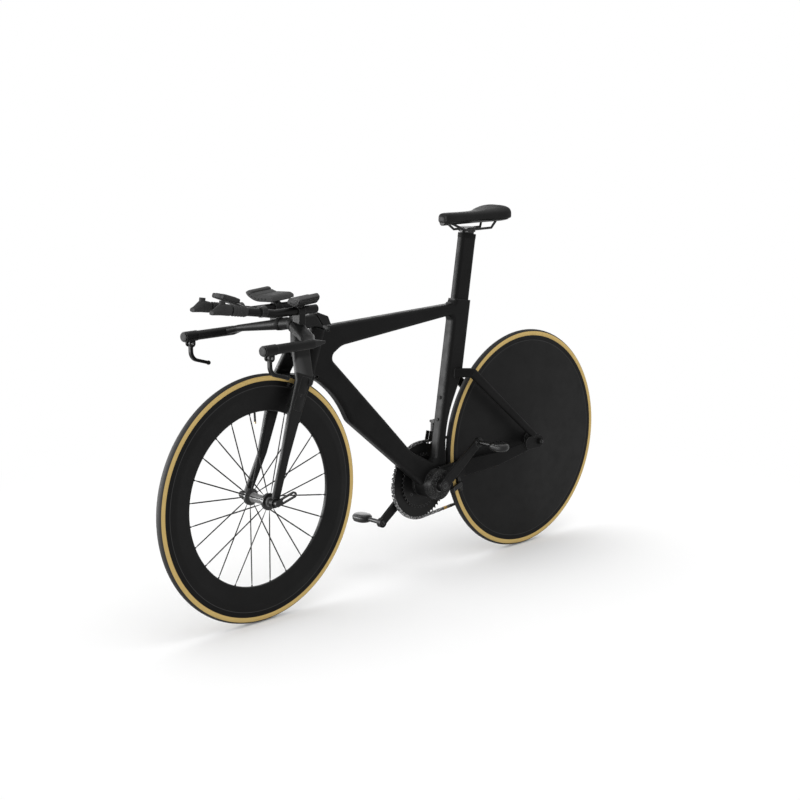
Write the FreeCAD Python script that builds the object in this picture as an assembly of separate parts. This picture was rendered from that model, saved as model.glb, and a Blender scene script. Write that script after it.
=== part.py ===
import FreeCAD, Part
import math
import os

V = FreeCAD.Vector

# A time trial bike in millimetres: +X forward, +Y to the left, +Z up.
# The origin is on the ground, midway between the wheels.

# Layout
WHEELBASE = 1050.0
WHEEL_RADIUS = 334.0
CRANK_AHEAD = 404.0
CRANK_DROP = 70.0
HEAD_ANGLE = 71.0
FORK_RAKE = 58.0
SEAT_ANGLE = 80.8
OVERRUN = 6.0
GLUE_GAP = 0.05
RUN_GAP = 0.05
BODY_GAP = 0.4
CORNER_RUN_SHARE = 0.99

# Frame
FRAME_WIDTH = 38.0
FRAME_EDGE = 12.0
SEAT_TUBE_LENGTH = 538.0
SEAT_TUBE_CHORD = 68.0
SEAT_COLLAR = 14.0
HEAD_LENGTH = 115.0
HEAD_FOOT_DROP = 19.0
HEAD_TUBE_RADIUS = 22.0
TOP_TUBE_REAR_DEPTH = 33.0
TOP_TUBE_HEAD_DEPTH = 54.0
TOP_TUBE_GUSSET = 78.0
HEAD_GUSSET = 62.0
HEAD_GUSSET_DROP = 80.0
DOWN_TUBE_DEPTH = 73.0
DOWN_TUBE_NECK_DEPTH = 56.0
DOWN_TUBE_NECK = 134.0
DOWN_TUBE_DROP = 28.0
DOWN_TUBE_BEND = 320.0
FRONT_CUT_GAP = 20.0
FRONT_CUT_TOP_ANGLE = 127.0
FRONT_CUT_END_ANGLE = 153.0
REAR_CUT_GAP = 16.0
REAR_CUT_LOW_ANGLE = -4.0
REAR_CUT_SWEEP = 37.0
CUT_ARC_SHARE = 0.82
TRIANGLE_FLOOR = 58.0
INNER_CORNER = 15.0
SOFT_CORNER = 60.0
CRANK_SHELL_RADIUS = 44.0
CRANK_SHELL_LEFT = 43.0
CRANK_SHELL_RIGHT = 31.0
CRANK_HEEL_BACK_SHARE = 0.8
CRANK_HEEL_DROP_SHARE = 0.6
CRANK_BEARING_RADIUS = 20.5
CRANK_BEARING_WIDTH = 9.0
HEAD_BEARING_RADIUS = 17.5
HEAD_BEARING_HEIGHT = 8.0
STEERER_RADIUS = 12.7
BOLT_RADIUS = 2.5
BOLT_HEAD_RADIUS = 5.0
BOLT_HEAD_HEIGHT = 3.0
BOTTLE_BOLT_PITCH = 64.0
BOTTLE_BOLT_DEPTH = 12.0
DOWN_BOTTLE_START = 218.0
SEAT_BOTTLE_START = 185.0

# Stays and rear ends
STAY_SPREAD = 46.0
STAY_THICKNESS = 14.0
SEAT_STAY_DEPTH = 30.0
SEAT_STAY_TIP_DEPTH = 22.0
SEAT_STAY_RISE = 244.0
SEAT_STAY_BEND = 127.0
SEAT_STAY_ROOT = 75.0
CHAIN_STAY_SETBACKS = (11.0, 116.0, 244.0)
CHAIN_STAY_RISES = (26.0, 28.0, 37.0)
CHAIN_STAY_SPREADS = (23.0, 25.0, 45.0)
CHAIN_STAY_DEPTHS = (46.0, 50.0, 42.0)
CHAIN_STAY_TIP_DEPTH = 28.0
CHAIN_STAY_TIP_DROP = 4.0
STAY_TIP_SPREAD = 66.0
STAY_TIP_AHEAD = 20.0
REAR_HUB_WIDTH = 130.0
DROPOUT_THICKNESS = 7.0
DROPOUT_RADIUS = 19.0
DROPOUT_REACH = 44.0
AXLE_STUB_RADIUS = 5.0
HANGER_DROP = 26.0
HANGER_RADIUS = 9.5

# Seat
POST_CHORD = 64.0
POST_WIDTH = 25.0
POST_SHOW = 186.8
POST_INSERT = 150.0
POCKET_SPARE = 45.0
POST_GAP = 0.15
RAIL_RADIUS = 3.5
RAIL_SPREAD = 22.0
RAIL_LIFT = 10.5
RAIL_FRONT = 32.0
RAIL_REAR = 80.0
RAIL_NOSE = 74.0
RAIL_TAIL = 94.0
RAIL_RISE = 21.0
RAIL_NOSE_SPREAD = 9.0
RAIL_TAIL_SPREAD = 28.0
CLAMP_LENGTH = 34.0
CLAMP_WIDTH = 54.0
CLAMP_CAP_HEIGHT = 7.0
CLAMP_NECK_INSET = 6.0
SADDLE_NOSE = 105.0
SADDLE_TAIL = 135.0
SADDLE_WIDTH = 134.0
SADDLE_LIFT = 25.0
SADDLE_CROWN = 38.0
SADDLE_BASE_DEPTH = 9.0
SADDLE_STATION_SHARES = (0.0, 0.02, 0.10, 0.32, 0.60, 0.82, 0.96, 1.0)
SADDLE_WIDTH_SHARES = (0.16, 0.25, 0.31, 0.36, 0.54, 0.94, 0.86, 0.64)
SADDLE_CROWN_SHARES = (0.50, 0.66, 0.70, 0.67, 0.70, 0.90, 1.0, 0.86)
SADDLE_SIDE_SHARE = 0.35
SADDLE_BRIM_SHARE = 0.86
SADDLE_FLOOR_SHARE = 0.86
SADDLE_BROW_SHARE = 0.9

# Fork and stem
FORK_HUB_WIDTH = 100.0
FORK_SPREAD = 45.0
LEG_TIP_SPREAD = 57.0
LEG_RISES = (0.0, 108.0, 228.0, 316.0, 384.0)
LEG_SETBACKS = (3.0, 48.0, 87.0, 121.0, 137.0)
LEG_CHORDS = (26.0, 30.0, 47.0, 58.0, 58.0)
LEG_WIDTHS = (13.0, 14.0, 16.0, 17.0, 18.0)
CROWN_TOP_SPREAD = 15.0
MAST_CHORD = 40.0
MAST_WIDTH = 30.0
MAST_SETBACK = 139.0
MAST_FOOT_DROP = 64.0
MAST_RISE = 6.0
CROWN_PLATE_HEIGHT = 26.0
CROWN_ARM_DEPTH = 23.0
CROWN_TYRE_GAP = 6.0
CROWN_TYRE_WIDTH = 34.0
DROPOUT_TAB_RADIUS = 13.0
STEM_WIDTH = 36.0
STEM_RISE = 42.0
STEM_EDGE = 8.0
STEM_LENGTH = 73.0
COVER_LENGTH = 50.0
COVER_CREST = 6.0
COVER_WIDTH = 34.0
COVER_LIFT = 9.0
COVER_KNEE_BACK = 39.0
COVER_KNEE_DROP = 15.0

# Base bar and levers
BAR_AHEAD = 17.0
BAR_RISE = 25.0
BAR_CHORD = 46.0
BAR_DEPTH = 33.0
WING_SPREAD = 128.0
WING_SWEEP = 62.0
WING_DROP = 19.0
WING_CHORD = 50.0
WING_DEPTH = 18.0
HORN_SPREAD = 158.0
HORN_DROP = 29.0
HORN_TAIL_BACK = 33.0
HORN_REACH = 133.0
HORN_DEPTH = 25.0
HORN_WIDTH = 22.0
HORN_TAIL_DEPTH = 7.0
HORN_TAIL_WIDTH = 5.0
HORN_TAIL_LENGTH = 42.0
HOUSING_LENGTH = 40.0
HOUSING_RADIUS = 14.0
HOUSING_GAP = 0.3
LEVER_PIN_AHEAD = 20.0
LEVER_PIN_DROP = 19.0
LEVER_PIN_RADIUS = 2.5
LEVER_WIDTH = 9.0
LEVER_EAR_WIDTH = 19.0
LEVER_EYE_RADIUS = 6.5
LEVER_SLOT_RISE = 13.0
LEVER_DEPTH = 9.0
LEVER_BALL_RADIUS = 6.0
LEVER_BEND = 26.0
LEVER_KNEE_BACK = 1.0
LEVER_KNEE_DROP = 41.0
LEVER_BALL_BACK = 58.0
LEVER_BALL_DROP = 58.0

# Extensions, pads and computer
EXTENSION_SPREAD = 45.0
EXTENSION_RADIUS = 11.1
EXTENSION_LIFT = 39.0
EXTENSION_TAIL = 43.0
EXTENSION_RUN = 102.0
EXTENSION_KNEE_RUN = 57.0
EXTENSION_RISE = 10.0
EXTENSION_TIP_RUN = 84.0
EXTENSION_TIP_RISE = 23.0
EXTENSION_TIP_SPREAD = 41.0
RISER_AHEAD = 16.0
RISER_LENGTH = 22.0
RISER_RADIUS = 15.0
RISER_WIDTH = 26.0
GRIP_START_SHARE = 0.42
GRIP_END_SHARE = 0.94
GRIP_WALL = 1.6
GRIP_RIB = 1.6
GRIP_RIBS = 5
GRIP_CREST_SHARE = 0.6
GRIP_FALL_SHARE = 0.3
SHIFTER_LENGTH = 56.0
SHIFTER_WIDTH = 27.0
SHIFTER_HEIGHT = 32.0
SHIFTER_NOSE_WIDTH = 20.0
SHIFTER_NOSE_HEIGHT = 11.0
SHIFTER_NOSE_DROP = 10.0
SHIFTER_MIDDLE_RISE = 2.0
SHIFTER_ROOT_SHARE = 0.88
BUTTON_LENGTH = 17.0
BUTTON_WIDTH = 14.0
BUTTON_HEIGHT = 7.0
BUTTON_SINK = 4.0
BUTTON_TRAVEL = 2.0
BUTTON_PLACE_SHARE = 0.46
PAD_AHEAD = 18.0
PAD_SPREAD = 68.0
PAD_FLAT = 38.0
PAD_LENGTH = 70.0
PAD_CURVE = 46.0
PAD_THICKNESS = 15.0
PAD_EDGE = 4.5
PAD_OUTER_ANGLE = 60.0
PAD_SKEW = 20.0
PAD_PITCH = 4.0
PAD_GROOVE = 1.8
PAD_GROOVE_SHARES = (0.22, 0.64)
CUP_WALL = 3.0
CUP_RISE = 6.0
CUP_GAP = 0.2
CUP_FOOT_RADIUS = 12.0
COMPUTER_BACK = 22.0
COMPUTER_LIFT = 48.0
COMPUTER_LENGTH = 56.0
COMPUTER_WIDTH = 45.0
COMPUTER_DEPTH = 13.0
COMPUTER_TILT = 18.0
COMPUTER_EDGE = 4.0
MOUNT_WALL = 4.0
MOUNT_LENGTH = 18.0
MOUNT_WIDTH = 16.0
MOUNT_FOOT_LENGTH = 26.0
MOUNT_FOOT_WIDTH = 24.0

# Wheels
TYRE_SECTION_RADIUS = 12.0
TYRE_WALL = 2.4
RIM_DROP = 18.0
RIM_TRACK_DEPTH = 14.0
RIM_TRACK_WIDTH = 21.6
RIM_BELLY_WIDTH = 25.0
RIM_DEPTH = 81.0
RIM_NOSE_WIDTH = 13.0
RIM_NOSE_SHARE = 0.9
RIM_WALL = 2.0
RIM_BED_WALL = 4.0
SPOKES = 24
SPOKE_RADIUS = 1.0
NIPPLE_RADIUS = 2.2
NIPPLE_LENGTH = 10.0
SPOKE_SEAT = 4.0
HUB_RADIUS = 12.0
HUB_FLANGE_RADIUS = 23.0
HUB_FLANGE_WIDTH = 7.0
HUB_FLANGE_SPREAD = 36.0
HUB_HALF_WIDTH = 42.0
HUB_BEARING_RADIUS = 10.0
HUB_BEARING_WIDTH = 6.0
AXLE_RADIUS = 6.0
AXLE_CAP_RADIUS = 9.0
SKEWER_RADIUS = 2.4
SKEWER_NUT_RADIUS = 9.0
SKEWER_NUT_LENGTH = 12.0
SKEWER_HEAD_RADIUS = 8.5
SKEWER_HEAD_LENGTH = 5.0
AXLE_NUT_LENGTH = 7.0
AXLE_END_RADIUS = 4.0
AXLE_END_LENGTH = 5.0
LEVER_LOOP_LENGTH = 58.0
LEVER_LOOP_WIDTH = 17.0
LEVER_LOOP_WALL = 4.0
LEVER_LOOP_THICKNESS = 6.0
LEVER_LOOP_ANGLE = 165.0
VALVE_RADIUS = 2.9
VALVE_LENGTH = 30.0
VALVE_ANGLE = 87.0
DISC_LEFT_HALF = 26.0
DISC_RIGHT_HALF = 14.0
DISC_HUB_RADIUS = 30.0
DISC_WALL = 2.0
REAR_HUB_RADIUS = 24.0

# Drive
PITCH = 12.7
ROLLER_RADIUS = 3.85
ROLLER_PLAY = 0.25
CHAIN_LINE = 41.0
CHAIN_INNER_WIDTH = 2.2
CHAIN_PLATE = 0.75
CHAIN_PLATE_GAP = 0.06
CHAIN_PLATE_DEPTH = 8.2
CHAIN_PIN_RADIUS = 1.8
TOOTH_THICKNESS = 1.8
TOOTH_RISE = 3.0
TOOTH_TIP = 2.4
SEAT_SPREAD_ANGLE = 58.0
OUTER_TEETH = 56
INNER_TEETH = 39
RING_BOLTS = 5
RING_BOLT_CIRCLE = 55.0
RING_BOLT_RADIUS = 4.0
RING_BORE = 22.0
COG_TEETH = (11, 12, 13, 14, 15, 16, 17, 19, 21, 23, 25)
COG_IN_USE = 4
COG_PITCH = 3.75
COG_CORE_RADIUS = 18.2
FREEHUB_RADIUS = 16.5
PULLEY_TEETH = 11
PULLEY_HUB_RADIUS = 9.0
PULLEY_HUB_WIDTH = 6.5
PULLEY_BOLT_RADIUS = 3.0
GUIDE_DROP = 78.0
GUIDE_AHEAD = 30.0
CAGE_LENGTH = 57.0
CAGE_ANGLE = -62.0
CAGE_SEARCH_ANGLE = 40.0
CAGE_SEARCH_STEPS = 60
CAGE_STUB_LENGTH = 12.0
CAGE_PLATE = 2.0
CAGE_WIDTH = 16.0
KNUCKLE_RADIUS = 8.5
KNUCKLE_LENGTH = 15.0
KNUCKLE_PIN_RADIUS = 4.0
LINK_WIDTH = 12.0
LINK_THICKNESS = 7.0
LINK_OFFSET = 5.5
LINK_PIN_RADIUS = 2.0
LINK_REACH = 18.0
LINK_EAR = 3.0
LINK_EAR_WIDTH = 19.0
SPINDLE_RADIUS = 12.0
CRANK_LENGTH = 170.0
CRANK_ANGLE = 140.0
CRANK_FACE = 48.0
CRANK_THICKNESS = 13.0
CRANK_ROOT_RADIUS = 19.0
CRANK_TIP_RADIUS = 14.0
CRANK_FLARE = 14.0
CRANK_BLADE_SHARE = 0.9
CRANK_EDGE = 4.0
SPIDER_THICKNESS = 4.6
SPIDER_ARM_WIDTH = 20.0
PEDAL_SPINDLE_RADIUS = 4.5
PEDAL_SPINDLE_LENGTH = 84.0
PEDAL_THREAD_RADIUS = 7.0
PEDAL_WASHER_RADIUS = 11.0
PEDAL_WASHER = 3.0
PEDAL_NECK_RADIUS = 6.5
PEDAL_START = 44.0
PEDAL_LENGTH = 62.0
PEDAL_WIDTH = 50.0
PEDAL_HEIGHT = 16.0
PEDAL_EDGE = 6.0
CAGE_BOTTOM_GAP = 5.0
FRONT_CAGE_HEIGHT = 28.0
FRONT_CAGE_HALF_WIDTH = 6.0
FRONT_CAGE_PLATE = 1.6
FRONT_CAGE_FRONT_ANGLE = 103.0
FRONT_CAGE_REAR_ANGLE = 128.0
FRONT_CAGE_PIVOT_RISE = 172.0
FRONT_CAGE_PIVOT_BACK = 48.0
FRONT_CAGE_PIVOT_SPREAD = 33.0
FRONT_CAGE_PIN_RADIUS = 3.0
FRONT_CAGE_ARM_LENGTH = 16.0
FRONT_CAGE_ARM_WIDTH = 8.0

# Rim brakes
PAD_DROP = 7.0
PAD_HEIGHT = 9.0
PAD_BLOCK_LENGTH = 44.0
PAD_BLOCK_DEPTH = 7.0
PAD_RIM_GAP = 1.6
BRAKE_ARM_WIDTH = 14.0
BRAKE_ARM_THICKNESS = 8.0
BRAKE_PIN_RADIUS = 4.0
BRAKE_PIN_HEAD_RADIUS = 6.0
BRAKE_EYE_RADIUS = 7.5
BRAKE_EAR = 5.0
FRONT_BRAKE_ANGLE = 111.0
FRONT_BRAKE_REACH = 50.0
FRONT_BRAKE_SPREAD = 28.5
REAR_BRAKE_ANGLE = -17.0
REAR_BRAKE_REACH = 40.0
REAR_BRAKE_SPREAD = 23.0
REAR_PIN_LENGTH = 60.0


def point(x, z, y=0):
    return V(x, y, z)


def side_way(degrees):
    """Unit direction in the side view, counted from +X towards +Z."""
    angle = math.radians(degrees)
    return V(math.cos(angle), 0, math.sin(angle))


SIDEWAYS = V(0, 1, 0)
UP = V(0, 0, 1)
FRONT_AXLE = point(WHEELBASE / 2, WHEEL_RADIUS)
REAR_AXLE = point(-WHEELBASE / 2, WHEEL_RADIUS)
CRANK_AXLE = REAR_AXLE + point(CRANK_AHEAD, -CRANK_DROP)
STEER_WAY = side_way(180 - HEAD_ANGLE)
STEER_FOOT = FRONT_AXLE - side_way(90 - HEAD_ANGLE) * FORK_RAKE
STEER_AHEAD = side_way(90 - HEAD_ANGLE)
SEAT_WAY = side_way(180 - SEAT_ANGLE)
SEAT_AHEAD = side_way(90 - SEAT_ANGLE)

# Places that follow from the sizes
RIM_OUTER_RADIUS = WHEEL_RADIUS - RIM_DROP
RIM_INNER_RADIUS = RIM_OUTER_RADIUS - RIM_DEPTH
PAD_RADIUS = RIM_OUTER_RADIUS - PAD_DROP
FRONT_CUT_RADIUS = WHEEL_RADIUS + FRONT_CUT_GAP
REAR_CUT_RADIUS = WHEEL_RADIUS + REAR_CUT_GAP
HEAD_BOTTOM_HEIGHT = 2 * WHEEL_RADIUS - HEAD_FOOT_DROP
HEAD_TOP_HEIGHT = HEAD_BOTTOM_HEIGHT + HEAD_LENGTH
SEAT_STAY_HEIGHT = WHEEL_RADIUS + SEAT_STAY_RISE
POST_END = SEAT_TUBE_LENGTH + POST_SHOW
RAIL_HEIGHT = CRANK_AXLE.z + SEAT_WAY.z * POST_END + RAIL_LIFT
SADDLE_SEAT_HEIGHT = RAIL_HEIGHT + SADDLE_LIFT
MAST_CENTRE = FRONT_AXLE.x - MAST_SETBACK
MAST_BASE = HEAD_TOP_HEIGHT - MAST_FOOT_DROP
MAST_TOP = HEAD_TOP_HEIGHT + MAST_RISE
BAR_CENTRE = MAST_CENTRE + BAR_AHEAD
BAR_HEIGHT = HEAD_TOP_HEIGHT + BAR_RISE
STEM_TOP = HEAD_TOP_HEIGHT + STEM_RISE
STEM_REAR = BAR_CENTRE - STEM_LENGTH
COVER_REAR = STEM_REAR - COVER_LENGTH
COVER_TOP = STEM_TOP + COVER_CREST
COVER_KNEE_X = STEM_REAR - COVER_KNEE_BACK
COVER_KNEE_HEIGHT = COVER_TOP - COVER_KNEE_DROP
WING_CENTRE = BAR_CENTRE + WING_SWEEP
WING_HEIGHT = BAR_HEIGHT - WING_DROP
HORN_HEIGHT = BAR_HEIGHT - HORN_DROP
HORN_REAR = WING_CENTRE - HORN_TAIL_BACK
HORN_FRONT = WING_CENTRE + HORN_REACH
HOUSING_FRONT = HORN_FRONT + HOUSING_LENGTH
LEVER_PIN_X = HORN_FRONT + LEVER_PIN_AHEAD
LEVER_PIN_HEIGHT = HORN_HEIGHT - LEVER_PIN_DROP
EXTENSION_HEIGHT = BAR_HEIGHT + EXTENSION_LIFT
EXTENSION_REAR = BAR_CENTRE - EXTENSION_TAIL
EXTENSION_BEND = BAR_CENTRE + EXTENSION_RUN
EXTENSION_RISE_X = EXTENSION_BEND + EXTENSION_KNEE_RUN
EXTENSION_TIP_X = EXTENSION_RISE_X + EXTENSION_TIP_RUN
RISER_X = BAR_CENTRE + RISER_AHEAD
PAD_X = BAR_CENTRE + PAD_AHEAD
COMPUTER_X = EXTENSION_TIP_X - COMPUTER_BACK
COMPUTER_HEIGHT = EXTENSION_HEIGHT + COMPUTER_LIFT


def steer_at(height):
    """Point of the steering axis at a height above the ground."""
    return STEER_FOOT + STEER_WAY * ((height - STEER_FOOT.z) / STEER_WAY.z)


def rounded(corners):
    """Closed wire through (point, radius) corners, its straight runs joined by tangent arcs.

    An arc that its runs have no room for is drawn smaller.
    """
    places = [corner[0] for corner in corners]
    ways = [(after - before).normalize() for before, after in zip(places, places[1:] + places[:1])]
    halves = [(-ways[index - 1]).getAngle(way) / 2 for index, way in enumerate(ways)]
    reaches = [radius / math.tan(half) for (place, radius), half in zip(corners, halves)]
    runs = []
    for index, (place, radius) in enumerate(corners):
        if radius == 0:
            runs.append((place, None, place))
            continue
        after = (index + 1) % len(places)
        room_before = (place - places[index - 1]).Length / (reaches[index - 1] + reaches[index])
        room_after = (places[after] - place).Length / (reaches[index] + reaches[after])
        room = min(1, room_before * CORNER_RUN_SHARE, room_after * CORNER_RUN_SHARE)
        middle = (ways[index] - ways[index - 1]).normalize()
        reach = reaches[index] * room
        crest = place + middle * (room * radius / math.sin(halves[index]) - room * radius)
        runs.append((place - ways[index - 1] * reach, crest, place + ways[index] * reach))
    edges = []
    for index, (start, crest, end) in enumerate(runs):
        if crest is not None:
            edges.append(Part.Arc(start, crest, end).toShape())
        edges.append(Part.makeLine(end, runs[(index + 1) % len(runs)][0]))
    return Part.Wire(edges)


def plain(places):
    """Closed wire with sharp corners."""
    return Part.makePolygon(places + places[:1])


def plate(wire, start, end, way=SIDEWAYS):
    """Solid between two offsets of a flat wire along a direction."""
    body = Part.Face(wire).extrude(way * (end - start))
    body.translate(way * start)
    return body


def eased(body, radius, way=SIDEWAYS):
    """Round every edge that lies square to a direction."""
    edges = []
    for edge in body.Edges:
        spans = [vertex.Point.dot(way) for vertex in edge.Vertexes]
        middle = edge.valueAt((edge.FirstParameter + edge.LastParameter) / 2).dot(way)
        spans.append(middle)
        if max(spans) - min(spans) < radius / 100:
            edges.append(edge)
    return body.makeFillet(radius, edges)


def rod(start, end, radius):
    along = end - start
    return Part.makeCylinder(radius, along.Length, start, along)


def tube(start, end, outer, inner):
    return rod(start, end, outer).cut(rod(start, end, inner))


def cross_rod(centre, start, end, radius):
    """Cylinder across the bike between two offsets from its middle plane."""
    return rod(V(centre.x, start, centre.z), V(centre.x, end, centre.z), radius)


def cross_tube(centre, start, end, outer, inner):
    return cross_rod(centre, start, end, outer).cut(cross_rod(centre, start, end, inner))


def stadium(centre, long_way, wide_way, length, width):
    """Closed wire of two half circles joined by straight sides."""
    half = wide_way * (width / 2)
    shift = long_way * ((length - width) / 2)
    cap = long_way * (length / 2)
    front = Part.Arc(centre + shift - half, centre + cap, centre + shift + half).toShape()
    rear = Part.Arc(centre - shift + half, centre - cap, centre - shift - half).toShape()
    top = Part.makeLine(centre + shift + half, centre - shift + half)
    bottom = Part.makeLine(centre - shift - half, centre + shift - half)
    return Part.Wire([front, top, rear, bottom])


def loft(wires):
    return Part.makeLoft(wires, True, True)


def bar(start, end, width, thickness, way):
    """Flat round-ended bar between two points, its thickness centred along a direction."""
    along = end - start
    long_way = V(along).normalize()
    wide_way = way.cross(long_way)
    outline = stadium((start + end) / 2, long_way, wide_way, along.Length + width, width)
    return plate(outline, -thickness / 2, thickness / 2, way)


def turned(profile, centre):
    """Body of revolution about a cross axis from (radius, offset) corners with roundings."""
    corners = [(V(radius, offset, 0), rounding) for radius, offset, rounding in profile]
    body = Part.Face(rounded(corners)).revolve(V(0, 0, 0), SIDEWAYS, 360)
    body.translate(V(centre.x, 0, centre.z))
    return body


def mirrored(body):
    return body.mirror(V(0, 0, 0), SIDEWAYS)


def both(body):
    return Part.makeCompound([body, mirrored(body)])


def fused(bodies):
    return bodies[0].multiFuse(bodies[1:]).removeSplitter()


def arc_cut(body, centre, radius, width):
    return body.cut(cross_rod(centre, -width / 2, width / 2, radius))


# Main frame

def seat_front(along):
    return CRANK_AXLE + SEAT_WAY * along


def seat_rear(along):
    return seat_front(along) - SEAT_AHEAD * SEAT_TUBE_CHORD


def tangent_corner(centre, radius, first, second):
    """Meeting point of the tangents to a circle at two angles."""
    reach = radius / math.cos(math.radians(second - first) / 2)
    return centre + side_way((first + second) / 2) * reach


DOWN_KINK = FRONT_AXLE + side_way(FRONT_CUT_END_ANGLE) * FRONT_CUT_RADIUS


def down_tube_axes():
    """Foot of the down tube's lower edge under the cranks, its direction and its upward normal."""
    span = DOWN_KINK - CRANK_AXLE
    lean = math.degrees(math.atan2(span.z, span.x) + math.asin(DOWN_TUBE_DROP / span.Length))
    normal = side_way(lean + 90)
    return CRANK_AXLE - normal * DOWN_TUBE_DROP, side_way(lean), normal


def frame_outline():
    foot, along, normal = down_tube_axes()
    top = SEAT_TUBE_LENGTH + OVERRUN
    head_top = steer_at(HEAD_TOP_HEIGHT)
    head_low = steer_at(HEAD_BOTTOM_HEIGHT)
    cut_top = FRONT_AXLE + side_way(FRONT_CUT_TOP_ANGLE) * FRONT_CUT_RADIUS
    cut_mid = tangent_corner(FRONT_AXLE, FRONT_CUT_RADIUS, FRONT_CUT_TOP_ANGLE, FRONT_CUT_END_ANGLE)
    rear_low = REAR_AXLE + side_way(REAR_CUT_LOW_ANGLE) * REAR_CUT_RADIUS
    rear_meet_angle = REAR_CUT_LOW_ANGLE + REAR_CUT_SWEEP
    rear_mid = tangent_corner(REAR_AXLE, REAR_CUT_RADIUS, REAR_CUT_LOW_ANGLE, rear_meet_angle)
    rear_meet = REAR_AXLE + side_way(rear_meet_angle) * REAR_CUT_RADIUS
    seat_meet = seat_rear((rear_meet.z - CRANK_AXLE.z + SOFT_CORNER) / SEAT_WAY.z)
    heel_back = CRANK_SHELL_RADIUS * CRANK_HEEL_BACK_SHARE
    heel_drop = CRANK_SHELL_RADIUS * CRANK_HEEL_DROP_SHARE
    heel = CRANK_AXLE - along * heel_back - normal * heel_drop
    return rounded([
        (seat_rear(top), 0),
        (seat_front(top), 0),
        (seat_front(SEAT_TUBE_LENGTH - SEAT_COLLAR), INNER_CORNER),
        (head_top + STEER_WAY * OVERRUN, 0),
        (head_low - STEER_WAY * OVERRUN, 0),
        (cut_top, SOFT_CORNER),
        (cut_mid, FRONT_CUT_RADIUS * CUT_ARC_SHARE),
        (DOWN_KINK, SOFT_CORNER),
        (foot, SOFT_CORNER / 2),
        (heel, CRANK_SHELL_RADIUS / 2),
        (rear_low, SOFT_CORNER),
        (rear_mid, REAR_CUT_RADIUS * CUT_ARC_SHARE),
        (seat_meet, SOFT_CORNER),
    ])


def triangle_outline():
    foot, along, normal = down_tube_axes()
    rear_top = seat_front(SEAT_TUBE_LENGTH - SEAT_COLLAR - TOP_TUBE_REAR_DEPTH)
    head_top = steer_at(HEAD_TOP_HEIGHT)
    gusset = head_top - V(TOP_TUBE_GUSSET, 0, TOP_TUBE_HEAD_DEPTH)
    corner = steer_at(HEAD_TOP_HEIGHT - HEAD_GUSSET_DROP) - V(HEAD_GUSSET, 0, 0)
    reach = (corner - foot).dot(along)
    middle = foot + along * (reach / 2) + normal * DOWN_TUBE_DEPTH
    neck = foot + along * DOWN_TUBE_NECK + normal * DOWN_TUBE_NECK_DEPTH
    return rounded([
        (rear_top, INNER_CORNER),
        (seat_front(TRIANGLE_FLOOR), INNER_CORNER),
        (neck, SOFT_CORNER),
        (middle, DOWN_TUBE_BEND),
        (corner, INNER_CORNER),
        (gusset, SOFT_CORNER),
    ])


def post_section(along, spare):
    centre = seat_front(along) - SEAT_AHEAD * (SEAT_TUBE_CHORD / 2)
    return stadium(centre, SEAT_AHEAD, SIDEWAYS, POST_CHORD + 2 * spare, POST_WIDTH + 2 * spare)


def head_bores():
    """Steerer passage with a bearing seat at each end of the head tube."""
    top = steer_at(HEAD_TOP_HEIGHT)
    low = steer_at(HEAD_BOTTOM_HEIGHT)
    ahead = STEER_WAY * OVERRUN
    passage = rod(low - ahead, top + ahead, STEERER_RADIUS + BODY_GAP * 2)
    upper = rod(top - STEER_WAY * HEAD_BEARING_HEIGHT, top + ahead, HEAD_BEARING_RADIUS + GLUE_GAP)
    lower = rod(low - ahead, low + STEER_WAY * HEAD_BEARING_HEIGHT, HEAD_BEARING_RADIUS + GLUE_GAP)
    return [passage, upper, lower]


def bottle_places():
    """Seat and inward direction of each bottle bolt."""
    foot, along, normal = down_tube_axes()
    corner = steer_at(HEAD_TOP_HEIGHT - HEAD_GUSSET_DROP) - V(HEAD_GUSSET, 0, 0)
    neck = foot + along * DOWN_TUBE_NECK + normal * DOWN_TUBE_NECK_DEPTH
    middle = foot + along * ((corner - foot).dot(along) / 2) + normal * DOWN_TUBE_DEPTH
    run = (middle - neck).normalize()
    inward = V(run.z, 0, -run.x)
    start = neck + run * (DOWN_BOTTLE_START - DOWN_TUBE_NECK)
    places = [(start, inward), (start + run * BOTTLE_BOLT_PITCH, inward)]
    for step in (0, 1):
        places.append((seat_front(SEAT_BOTTLE_START + step * BOTTLE_BOLT_PITCH), -SEAT_AHEAD))
    return places


def main_frame():
    body = plate(frame_outline(), -FRAME_WIDTH / 2, FRAME_WIDTH / 2)
    body = body.cut(plate(triangle_outline(), -FRAME_WIDTH, FRAME_WIDTH))
    body = eased(body, FRAME_EDGE)
    head_low = steer_at(HEAD_BOTTOM_HEIGHT)
    head_top = steer_at(HEAD_TOP_HEIGHT)
    head = rod(head_low, head_top, HEAD_TUBE_RADIUS)
    shell = cross_rod(CRANK_AXLE, -CRANK_SHELL_RIGHT, CRANK_SHELL_LEFT, CRANK_SHELL_RADIUS)
    body = fused([body, head, shell])
    collar = post_section(SEAT_TUBE_LENGTH, SEAT_TUBE_CHORD)
    body = body.cut(plate(collar, 0, SEAT_TUBE_CHORD, SEAT_WAY))
    body = body.cut(end_trim(head_top, STEER_WAY, FRAME_WIDTH))
    body = body.cut(end_trim(head_low, -STEER_WAY, FRAME_WIDTH))
    depth = POST_INSERT + POCKET_SPARE
    pocket = post_section(SEAT_TUBE_LENGTH - depth, POST_GAP)
    body = body.cut(plate(pocket, 0, depth + OVERRUN, SEAT_WAY))
    for bore in head_bores():
        body = body.cut(bore)
    shell_bore = CRANK_BEARING_RADIUS + GLUE_GAP
    body = body.cut(cross_rod(CRANK_AXLE, -CRANK_SHELL_RIGHT, CRANK_SHELL_LEFT, shell_bore))
    for place, inward in bottle_places():
        body = body.cut(rod(place - inward * OVERRUN, place + inward * BOTTLE_BOLT_DEPTH, BOLT_RADIUS))
    return body


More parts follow.
